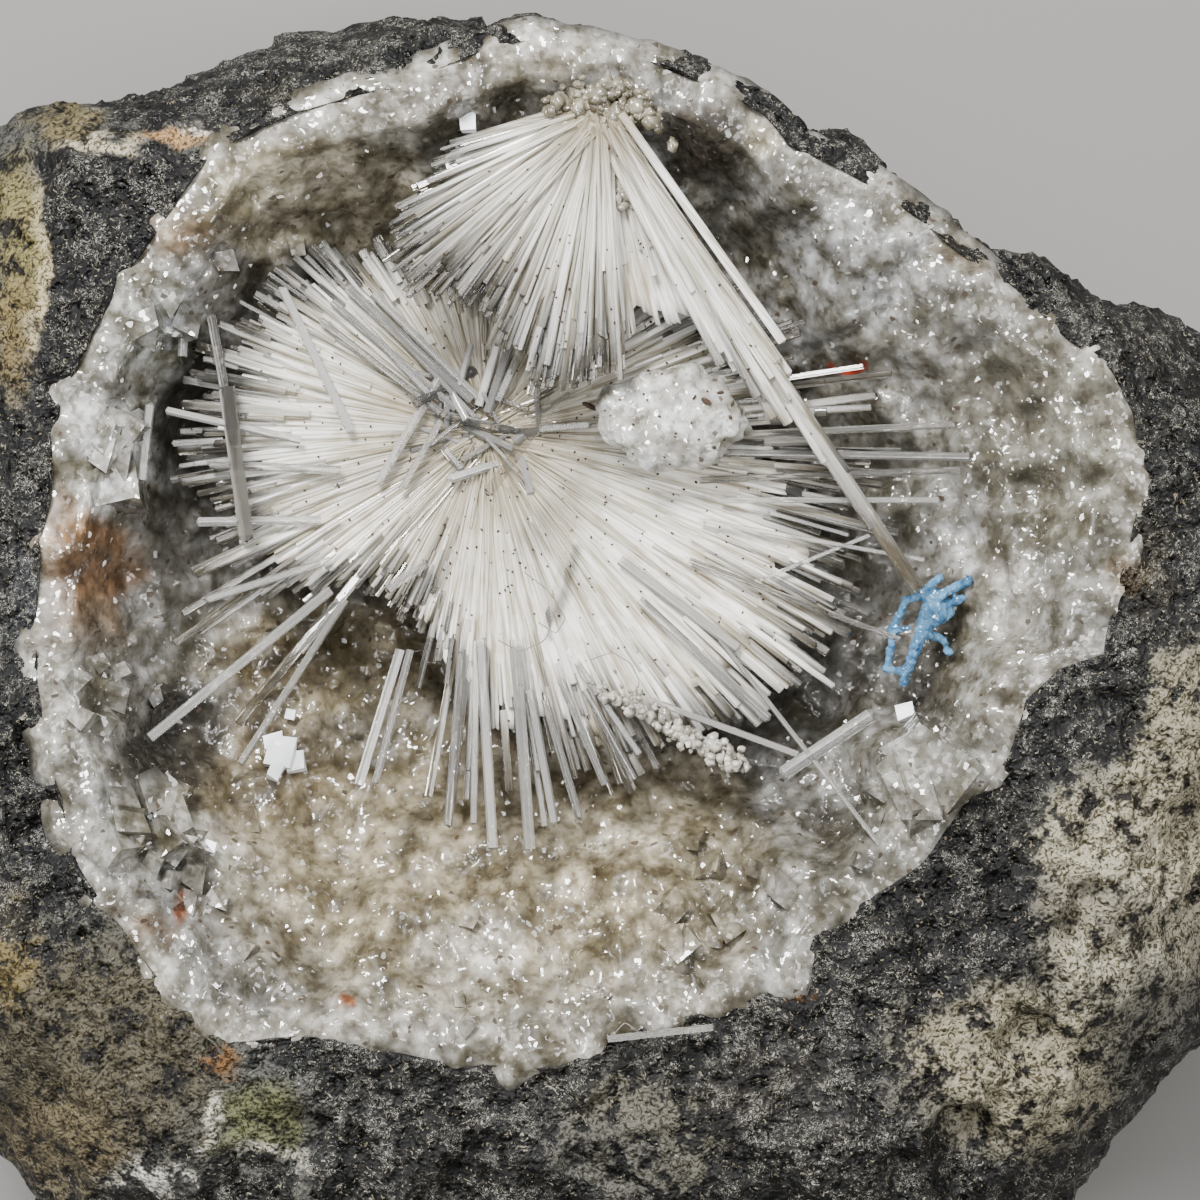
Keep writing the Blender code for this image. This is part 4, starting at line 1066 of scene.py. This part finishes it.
def needle_values(corners, per_needle, start, reach_at, full_at, rng, most=0.9):
    """How milky each corner is, and each needle's own tone."""
    away = corners - start
    directions = np.degrees(np.arctan2(away[:, 1], away[:, 0])) % 360
    share = np.linalg.norm(away, axis=1) / reach_at(directions)
    needles = len(corners) // per_needle
    own = np.repeat(rng.uniform(-0.12, 0.12, needles), per_needle)
    milk = most * np.clip((full_at(directions) + 0.05 - share + own) / 0.22, 0, 1)
    tone = np.repeat(rng.uniform(0, 1, needles), per_needle)
    return {"milk": milk, "tone": tone}


def bundles(directions, width, seed):
    """Packed needles side by side: three random numbers each, and how far each bulges."""
    places = directions / width
    index = np.floor(places).astype(np.int64)
    own = scatter(np.stack((index, index * 0, index * 0), axis=-1), seed)
    return own, 1 - (2 * (places - index) - 1) ** 2


def spray_core():
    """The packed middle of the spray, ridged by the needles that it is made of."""
    turns_count = 1440
    turns = np.arange(turns_count) * TURN / turns_count
    directions = np.degrees(turns)
    fine, bulge = bundles(directions, 1.5, 61)
    thick, swelling = bundles(directions, 8.0, 62)
    reach = by_direction(SPRAY_REACH, directions) * by_direction(FULL_TO, directions)
    reach = reach * (0.88 + 0.12 * fine[:, 1] + 0.06 * (thick[:, 1] - 0.5))
    rise = np.tan(np.radians(spray_rise(directions)))
    circle = np.stack((np.cos(turns), np.sin(turns), turns * 0), axis=1)
    rings = []
    for share in np.linspace(0.03, 1, 24):
        out = (reach * share)[:, None] * circle
        ridge = 0.05 * bulge + 0.12 * (fine[:, 0] - 0.5) + 0.25 * swelling * thick[:, 0]
        height = reach * share * rise - 0.12 - 0.3 * share**3 + ridge * min(1, share * 1.6)
        rings.append(SPRAY_START + out + np.stack((turns * 0, turns * 0, height), axis=1))
    for share, drop in ((0.9, 1.6), (0.7, 2.8), (0.42, 3.9), (0.22, 4.8)):
        out = (reach * share)[:, None] * circle
        rings.append(SPRAY_START + out - (0, 0, drop))
    rings = np.array(rings)
    corners = np.vstack((
        SPRAY_START - (0, 0, 0.5), rings.reshape(-1, 3), SPRAY_START - (0, 0, 5.0)))
    return corners, polar_faces(len(rings), turns_count)


def build_spray(settings, crust_tree):
    """The main spray: a packed mass under thousands of needles and the single ones."""
    rng = np.random.default_rng(7)
    roots, tips, widths = spray_runs(crust_tree, rng)
    widths *= settings.needle_width / (0.4 * MM)
    corners, faces, count = prisms(roots, tips, widths, rng)

    def reach_at(directions):
        return by_direction(SPRAY_REACH, directions)

    def full_at(directions):
        return by_direction(FULL_TO, directions)

    glassy = needle_material("natrolite, glassy needles", settings)
    brown_to = 10.5 * MM
    streaked = needle_material(
        "natrolite, streaked needles", settings, SPRAY_START, brown_to)
    values = needle_values(corners, count, SPRAY_START, reach_at, full_at, rng)
    piece(
        "spray_needles", corners, faces, streaked, values, replaced=("main_spray",),
    )
    roots, tips, widths = single_runs(rng)
    corners, faces, count = prisms(roots, tips, widths, rng)
    milk = np.repeat(rng.uniform(0, 0.25, len(roots)), count)
    tone = np.repeat(rng.uniform(0.4, 1, len(roots)), count)
    piece(
        "single_needles", corners, faces, glassy, {"milk": milk, "tone": tone},
    )
    core, sides = spray_core()
    packed = packed_material(
        "natrolite, milky packed needles", settings.milky, SPRAY_START, brown_to)
    return piece("spray_core", core, sides, packed, smooth=True)


def sheet(start, table, slope, share, thick, rows, columns, seed):
    """A thin closed sheet of packed needles that fans out from a point."""
    first, last = table[0][0], table[-1][0]
    directions = np.linspace(first, last, columns)
    fine, bulge = bundles(directions, 1.3, seed)
    broad, swelling = bundles(directions, 7.0, seed + 1)
    reach = by_direction(table, directions, None) * (share + 0.12 * (fine[:, 1] - 0.5))
    top = []
    for part in np.linspace(0.04, 1, rows):
        level = 0.05 * bulge + 0.12 * (fine[:, 0] - 0.5) + 0.25 * swelling * broad[:, 0]
        level = level * min(1, part * 1.6)
        points = start + headings(directions, slope + directions * 0) * (reach * part)[:, None]
        points[:, 2] += level
        top.append(points)
    top = np.array(top)
    under = top - np.array((0, 0, thick))
    corners = np.vstack((top.reshape(-1, 3), under.reshape(-1, 3)))
    faces = []
    size = rows * columns
    for r in range(rows - 1):
        for c in range(columns - 1):
            a = r * columns + c
            faces.append((a, a + columns, a + columns + 1, a + 1))
            faces.append((size + a, size + a + 1, size + a + columns + 1, size + a + columns))
    edge = [c for c in range(columns)]
    edge += [r * columns + columns - 1 for r in range(1, rows)]
    edge += [(rows - 1) * columns + c for c in range(columns - 2, -1, -1)]
    edge += [r * columns for r in range(rows - 2, 0, -1)]
    for i, a in enumerate(edge):
        b = edge[(i + 1) % len(edge)]
        faces.append((a, b, size + b, size + a))
    return corners, faces


FAN_LAYERS = (  # table, how many, slope and its spread, reach, widths in mm
    (FAN_REACH, 300, -1.7, 0.4, (0.78, 1.0), (0.14, 0.36)),
    (FAN_REACH, 220, -3.2, 0.7, (0.75, 1.02), (0.24, 0.44)),
    (FAN_REACH, 260, -1.5, 0.4, (0.35, 0.85), (0.12, 0.26)),
    (BLADE_REACH, 60, -2.2, 0.4, (0.8, 1.0), (0.26, 0.5)),
    (BLADE_REACH, 50, -1.7, 0.3, (0.5, 0.95), (0.16, 0.3)),
)
INNER_REACH = ((275, 12.0), (281, 11.0), (288, 11.5), (297, 13.0))
LONG_BLADE = ((303.7, 28.8, 0.62), (303.2, 25.0, 0.5), (304.4, 22.0, 0.5), (302.6, 21.0, 0.5))


def build_fan(settings):
    """The upper spray that hangs from the hollow's edge, and its long blade."""
    rng = np.random.default_rng(17)
    roots, tips, widths = [], [], []
    for table, count, slope, wander, (short, long), (thin, thick) in FAN_LAYERS:
        directions = rng.uniform(table[0][0], table[-1][0], count)
        runs = headings(directions, slope + rng.normal(0, wander, count))
        reach = by_direction(table, directions, None) * rng.uniform(short, long, count)
        start = FAN_START + rng.normal(0, 0.25, (count, 3))
        roots.append(start + runs * 0.8)
        tips.append(start + runs * reach[:, None])
        widths.append(rng.uniform(thin, thick, count))
    for direction, length, width in LONG_BLADE:
        run = headings(np.array([direction]), np.array([-1.9]))
        roots.append(FAN_START + run)
        tips.append(FAN_START + run * length)
        widths.append([width])
    count = 30
    directions = rng.uniform(276, 296, count)
    runs = headings(directions, rng.uniform(-12, -3, count))
    roots.append(FAN_START + runs * 0.6)
    tips.append(FAN_START + runs * rng.uniform(4.0, 9.0, count)[:, None])
    widths.append(rng.uniform(0.25, 0.45, count))
    widths = np.concatenate(widths) * settings.needle_width / (0.4 * MM)
    corners, faces, count = prisms(np.vstack(roots), np.vstack(tips), widths, rng)

    def reach_at(directions):
        fan = by_direction(FAN_REACH, directions, None)
        blade = by_direction(BLADE_REACH, directions, None) * 1.35
        return np.where(directions < 290, fan, blade)

    brown_to = 5.0 * MM
    glassy = needle_material("natrolite, glassy fan", settings, FAN_START, brown_to)
    values = needle_values(corners, count, FAN_START, reach_at, lambda _: 0.85, rng, 0.75)
    piece(
        "fan_needles", corners, faces, glassy, values, replaced=("upper_fan",),
    )
    packed = packed_material(
        "natrolite, milky packed fan", settings.milky, FAN_START, brown_to)
    parts = (
        ("fan_sheet", FAN_REACH, -2.6, 0.86, 0.35, 14, 440, 71),
        ("blade_sheet", BLADE_REACH, -2.8, 0.9, 0.5, 14, 80, 74),
        ("inner_sheet", INNER_REACH, -8.0, 0.95, 0.5, 12, 130, 77),
    )
    for name, table, slope, share, thick, rows, columns, seed in parts:
        points, sides = sheet(FAN_START, table, slope, share, thick, rows, columns, seed)
        piece(name, points, sides, packed, smooth=True)


# Knob, blue grain, dust and lint


def ball(level):
    """The corners and faces of a round ball of radius 1."""
    shape = bmesh.new()
    bmesh.ops.create_icosphere(shape, subdivisions=level, radius=1)
    corners = np.array([v.co for v in shape.verts])
    faces = [tuple(v.index for v in face.verts) for face in shape.faces]
    shape.free()
    return corners, faces


BEAD_CRUSTS = (  # name, line in pixels, height, spread, how many, sizes in mm, colour
    ("tip_crust", ((600, 690), (640, 705), (670, 730), (705, 745), (725, 758), (738, 765)),
     30.6, 0.3, 200, (0.12, 0.34), "#eceae5"),
    ("root_crust", ((552, 112), (575, 100), (600, 96), (628, 104), (650, 118)),
     33.3, 0.45, 170, (0.2, 0.5), "#a9a392"),
    ("hanging_lumps", ((618, 188), (632, 205), (648, 200), (640, 182)),
     32.8, 0.3, 50, (0.2, 0.42), "#d5d0c4"),
)


def build_knob(settings):
    """The crusts of fine crystals on and between the sprays."""
    low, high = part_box("white_knob")
    middle = (np.array(low) + np.array(high)) / 2 / MM - FOOTPRINT_SHIFT
    radii = (np.array(high) - np.array(low)) / 2 / MM
    corners, faces = ball(6)
    sized = corners * radii
    bent = sized + 0.4 * np.stack([rough(sized, 1.1, 3, seed) for seed in (84, 85, 86)], axis=1)
    lumps = np.sqrt(np.clip(1 - grains(bent, 1.3, 81)[0] ** 2, 0, 1))
    beads = np.sqrt(np.clip(1 - grains(bent, 0.5, 82)[0] ** 2, 0, 1))
    size = 0.8 + 0.16 * rough(sized, 2.2, 3, 83) + 0.09 * lumps + 0.06 * beads
    material = crust_material(
        "natrolite, white fine crust", "#ffffff", "#d9d5cb", 0.13, settings.facet)
    # painted shade: the crust is darker between its lumps and beads and lighter on their tops
    lump_shade = (0.72 + 0.2 * lumps + 0.12 * beads)[:, None]
    tints = np.tile(linear("#dddfe0"), (len(sized), 1)) * lump_shade
    piece(
        "knob_crust", middle + sized * size[:, None], faces, material, {"tint": tints},
        smooth=True, replaced=("white_knob",),
    )
    rng = np.random.default_rng(19)
    bead, sides = ball(2)
    for name, line, height, width, count, (small, large), code in BEAD_CRUSTS:
        line = np.array([seen(x, y, height) for x, y in line])
        points = []
        for _ in range(count):
            i = rng.integers(0, len(line) - 1)
            spot = line[i] + (line[i + 1] - line[i]) * rng.uniform(0, 1)
            spot = spot + rng.normal(0, 1, 3) * (width, width, 0.25)
            size = rng.uniform(small, large) * rng.uniform(0.6, 1.1, 3)
            lump = 1 + 0.5 * swell(bead + spot, 0.5, 5)
            points.append(spot + bead * size * lump[:, None])
        points = np.concatenate(points)
        faces = [
            tuple(k * len(bead) + i for i in side) for k in range(count) for side in sides]
        tints = np.tile(linear(code), (len(points), 1)) * (
            0.85 + 0.3 * swell(points, 1.2, 6))[:, None]
        piece(name, points, faces, material, {"tint": tints}, smooth=True)


SPRIG_TWIGS = (  # both ends in pixels, thickness at both ends in mm
    (934, 592, 924, 625, 0.3, 0.42), (924, 625, 904, 682, 0.42, 0.22),
    (930, 600, 968, 582, 0.3, 0.22), (932, 610, 962, 598, 0.42, 0.2),
    (930, 622, 950, 612, 0.4, 0.25), (922, 590, 940, 578, 0.2, 0.2),
    (905, 600, 893, 632, 0.2, 0.26), (893, 632, 888, 664, 0.2, 0.24),
    (905, 600, 930, 595, 0.18, 0.2), (886, 668, 904, 672, 0.2, 0.2),
    (925, 634, 944, 640, 0.28, 0.16), (944, 640, 949, 652, 0.16, 0.2),
    (968, 582, 970, 576, 0.2, 0.14), (893, 632, 908, 628, 0.12, 0.12),
)


def build_sprig(settings):
    """The branching blue grain."""
    low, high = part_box("blue_sprig")
    level = (low[2] + high[2]) / 2 / MM
    spots, sizes = [], []
    for x0, y0, x1, y1, thick0, thick1 in SPRIG_TWIGS:
        for share in np.linspace(0, 1, 9):
            spot = seen(x0 + (x1 - x0) * share, y0 + (y1 - y0) * share, level)
            spots.append(spot + (0, 0, 0.25 * math.sin(x0 + 5 * share)))
            sizes.append(thick0 + (thick1 - thick0) * share)
    bead, sides = ball(3)
    count = len(bead)
    corners = np.concatenate([spot + bead * size for spot, size in zip(spots, sizes)])
    faces = [tuple(k * count + i for i in side) for k in range(len(spots)) for side in sides]
    material = plain_crystal_material(
        "blue glassy grain", settings.blue, "#28567f", 0.08, 0.2, 0.6 * MM)
    sprig = piece(
        "blue_grain", corners, faces, material, smooth=True, replaced=("blue_sprig",),
    )
    remesh = sprig.modifiers.new("one body", "REMESH")
    remesh.mode = "VOXEL"
    remesh.voxel_size = 0.08 * MM
    lumps = bpy.data.textures.new("sprig lumps", "CLOUDS")
    lumps.noise_scale = 0.5 * MM
    push = sprig.modifiers.new("lumps", "DISPLACE")
    push.texture = lumps
    push.texture_coords = "LOCAL"
    push.strength = 0.3 * MM


def build_loose():
    """The broken needles that lie on the sprays and on the lower rim."""
    clear = bpy.data.objects["single_needles"].data.materials[0]
    for name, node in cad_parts.items():
        if name.startswith("loose_needle") or name == "rim_needle":
            node.data.materials.clear()
            node.data.materials.append(clear)


def build_dust(trees):
    """Dark dust specks on the needles, a seed-like chip and two brown marks."""
    rng = np.random.default_rng(23)
    bead, sides = ball(1)
    points = []
    marks = [
        (590, 405, 0.5, 0.16, 2.7), (517, 272, 0.16, 0.14, 0.0), (706, 402, 0.34, 0.16, 2.6),
        (694, 398, 0.18, 0.08, 1.0), (720, 393, 0.22, 0.1, 0.2), (732, 404, 0.2, 0.08, 1.2),
        (730, 418, 0.14, 0.1, 2.0), (714, 448, 0.12, 0.1, 0.0), (730, 455, 0.13, 0.1, 0.0),
    ]
    marks += [
        (x, y, rng.uniform(0.04, 0.11), rng.uniform(0.04, 0.07), rng.uniform(0, 3))
        for x, y in zip(rng.normal(520, 150, 460), rng.normal(460, 150, 460))
    ]
    for x, y, long, short, turn in marks:
        spot = seen(x, y, 31.0)
        heights = [height_on(tree, *spot[:2], missing=-1) for tree in trees]
        height = max(heights)
        if height < 0:
            continue
        grain = bead * (long, short, short)
        cos, sin = math.cos(turn), math.sin(turn)
        grain = np.stack((
            grain[:, 0] * cos - grain[:, 1] * sin, grain[:, 0] * sin + grain[:, 1] * cos,
            grain[:, 2]), axis=1)
        points.append(grain + (spot[0], spot[1], height + short * 0.6))
    count = len(bead)
    faces = [tuple(k * count + i for i in side) for k in range(len(points)) for side in sides]
    material = plain_crystal_material(
        "brown dust", "#4d3a28", "#1c140d", 0.8, 0.0, 0.1 * MM)
    piece("dust", np.concatenate(points), faces, material)


LINT = (  # pixels along each hair, height in mm
    (((524, 572), (548, 590), (566, 618), (556, 634), (538, 622)), 31.4),
    (((498, 640), (520, 652), (546, 640), (556, 606), (552, 590)), 31.2),
    (((555, 838), (557, 862), (556, 886), (553, 910)), 24.3),
    (((354, 340), (358, 352), (364, 366)), 32.6),
    (((590, 660), (612, 652), (632, 664), (640, 684), (628, 700)), 31.6),
    (((612, 1036), (625, 1022), (641, 1034), (662, 1030), (700, 1026)), 33.4),
    (((640, 986), (648, 1002), (640, 1024)), 33.2),
)


def build_lint():
    """A few hairs of lint, 0.05 mm thick, that lie on the specimen."""
    rng = np.random.default_rng(41)
    roots, tips = [], []
    for line, height in LINT:
        line = np.array([seen(x, y, height) for x, y in line])
        stops = np.linspace(0, len(line) - 1, 5 * len(line))
        smooth = np.stack([np.interp(stops, range(len(line)), line[:, k]) for k in range(3)], 1)
        smooth[1:-1] = (smooth[:-2] + smooth[1:-1] * 2 + smooth[2:]) / 4
        roots.append(smooth[:-1])
        tips.append(smooth[1:])
    roots, tips = np.vstack(roots), np.vstack(tips)
    corners, faces, _ = prisms(roots, tips, np.full(len(roots), 0.05), rng, cap=0.1)
    material = plain_crystal_material("lint", "#8d887e", "#5f5a52", 0.8, 0.0, 0.2 * MM)
    piece("lint", corners, faces, material)


def build_stage(settings):
    """Pale floor, soft light and the camera straight above the hollow."""
    mesh = bpy.data.meshes.new("floor")
    size = 3.0
    mesh.from_pydata(
        [(-size, -size, 0), (size, -size, 0), (size, size, 0), (-size, size, 0)], [],
        [(0, 1, 2, 3)])
    floor = bpy.data.objects.new("floor", mesh)
    bpy.context.scene.collection.objects.link(floor)
    material, tree, place = new_material("matt grey paper")
    cloud = add(tree, "ShaderNodeTexNoise", {"Vector": place, "Scale": 4.0}).outputs["Fac"]
    dress(tree, {
        "Base Color": toned(tree, cloud, 0.3, 0.7, "#7b7977", "#807e7b"), "Roughness": 0.9})
    mesh.materials.append(material)

    world = bpy.data.worlds.new("studio")
    world.use_nodes = True
    background = world.node_tree.nodes["Background"]
    background.inputs["Color"].default_value = (*linear("#efeeec"), 1)
    background.inputs["Strength"].default_value = settings.ambient
    bpy.context.scene.world = world
    target = Vector((0, 0.003, 0.03))
    lamps = (
        ("key", (-0.14, 0.3, 0.4), 0.14, 4.6), ("fill", (0.42, -0.05, 0.36), 0.2, 1.3),
        ("top", (0.0, 0.05, 0.8), 0.4, 2.4), ("left", (-0.4, -0.12, 0.26), 0.1, 1.0),
    )
    for name, spot, width, power in lamps:
        lamp = bpy.data.lights.new(name, "AREA")
        lamp.size = width
        lamp.energy = power * settings.light
        obj = bpy.data.objects.new(name, lamp)
        obj.location = spot
        obj.rotation_euler = (target - Vector(spot)).to_track_quat("-Z", "Y").to_euler()
        bpy.context.scene.collection.objects.link(obj)

    # Paths long enough to pass through crossed clear needles, and no longer.
    paths = bpy.context.scene.cycles
    paths.max_bounces = 4
    paths.diffuse_bounces = 2
    paths.glossy_bounces = 2
    paths.transmission_bounces = 4
    paths.caustics_reflective = False
    paths.caustics_refractive = False

    camera = bpy.data.cameras.new("camera")
    camera.sensor_width = 36
    camera.lens = 36 * CAMERA_HEIGHT / (1200 * PIXEL)
    camera.clip_start = 0.01
    view = bpy.data.objects.new("camera", camera)
    middle = np.array((*PICTURE_MIDDLE, FACE_HEIGHT + CAMERA_HEIGHT)) + FOOTPRINT_SHIFT
    view.location = middle * MM
    bpy.context.scene.collection.objects.link(view)
    bpy.context.scene.camera = view


# The add-on


def colour_property(name, description, code):
    """A colour that a user would change, from its hex code."""
    return bpy.props.FloatVectorProperty(
        name=name, description=description, default=linear(code), subtype="COLOR", min=0, max=1)


class SpecimenSettings(bpy.types.PropertyGroup):
    """Colours, sizes and light that a user would change."""

    fresh_break: colour_property("Fresh basalt", "Colour of the fresh broken rock", "#454541")
    crust: colour_property("Crust", "Colour of the crystal crust", "#979694")
    milky: colour_property("Milky natrolite", "Colour of packed needles", "#f3f2ec")
    clear: colour_property("Clear natrolite", "Colour of clear needle tips", "#fbfaf7")
    blue: colour_property("Blue grain", "Colour of the blue grain", "#74a9ce")
    clearness: bpy.props.FloatProperty(
        name="Clearness", description="How see-through the needle tips are", default=0.95,
        min=0, max=1, subtype="FACTOR")
    needle_width: bpy.props.FloatProperty(
        name="Needle width", description="Thickness of a common needle", default=0.4 * MM,
        min=0.1 * MM, max=1.0 * MM, unit="LENGTH", precision=5)
    facet: bpy.props.FloatProperty(
        name="Crust facet", description="Size of the crust's smallest crystal faces",
        default=0.25 * MM, min=0.1 * MM, max=1.0 * MM, unit="LENGTH", precision=5)
    light: bpy.props.FloatProperty(
        name="Light", description="Strength of the studio lamps", default=1.35, min=0)
    ambient: bpy.props.FloatProperty(
        name="Ambient", description="Strength of the light from all around", default=0.3, min=0)


class NATROLITE_OT_cobble(bpy.types.Operator):
    """Build the basalt cobble"""

    bl_idname = "natrolite.cobble"
    bl_label = "Cobble"

    def execute(self, context):
        build_cobble(context.scene.natrolite)
        return {"FINISHED"}


class NATROLITE_OT_crust(bpy.types.Operator):
    """Build the crust and crystals that line the hollow"""

    bl_idname = "natrolite.crust"
    bl_label = "Crust"

    def execute(self, context):
        build_crust(context.scene.natrolite)
        return {"FINISHED"}


class NATROLITE_OT_sprays(bpy.types.Operator):
    """Build the main spray and the upper fan"""

    bl_idname = "natrolite.sprays"
    bl_label = "Sprays"

    def execute(self, context):
        settings = context.scene.natrolite
        build_spray(settings, skin_of(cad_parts["cavity_crust"]))
        build_fan(settings)
        build_loose()
        return {"FINISHED"}


class NATROLITE_OT_grains(bpy.types.Operator):
    """Build the white knob, the blue grain and the dust"""

    bl_idname = "natrolite.grains"
    bl_label = "Grains"

    def execute(self, context):
        settings = context.scene.natrolite
        build_knob(settings)
        build_sprig(settings)
        names = ("spray_needles", "spray_core", "fan_needles", "fan_sheet", "knob_crust")
        build_dust([skin_of(bpy.data.objects[name]) for name in names])
        build_lint()
        return {"FINISHED"}


class NATROLITE_OT_stage(bpy.types.Operator):
    """Set up the floor, the light and the camera"""

    bl_idname = "natrolite.stage"
    bl_label = "Stage"

    def execute(self, context):
        build_stage(context.scene.natrolite)
        return {"FINISHED"}


class NATROLITE_PT_specimen(bpy.types.Panel):
    """Lists the settings and the operators"""

    bl_idname = "NATROLITE_PT_specimen"
    bl_label = "Natrolite specimen"
    bl_space_type = "VIEW_3D"
    bl_region_type = "UI"
    bl_category = "Natrolite"

    def draw(self, context):
        for name in SpecimenSettings.__annotations__:
            self.layout.prop(context.scene.natrolite, name)
        for operator in OPERATORS:
            self.layout.operator(operator.bl_idname)


OPERATORS = (
    NATROLITE_OT_cobble, NATROLITE_OT_crust, NATROLITE_OT_sprays, NATROLITE_OT_grains,
    NATROLITE_OT_stage,
)


def register():
    """Adds the classes and the settings to Blender."""
    for kind in (SpecimenSettings, *OPERATORS, NATROLITE_PT_specimen):
        bpy.utils.register_class(kind)
    bpy.types.Scene.natrolite = bpy.props.PointerProperty(type=SpecimenSettings)


def unregister():
    """Takes the classes and the settings out again."""
    del bpy.types.Scene.natrolite
    for kind in (NATROLITE_PT_specimen, *reversed(OPERATORS), SpecimenSettings):
        bpy.utils.unregister_class(kind)


def main():
    """Builds the scene."""
    register()
    noise.seed_set(NOISE_SEED)
    bpy.ops.natrolite.cobble()
    bpy.ops.natrolite.crust()
    bpy.ops.natrolite.sprays()
    bpy.ops.natrolite.grains()
    bpy.ops.natrolite.stage()


if __name__ == "__main__":
    main()
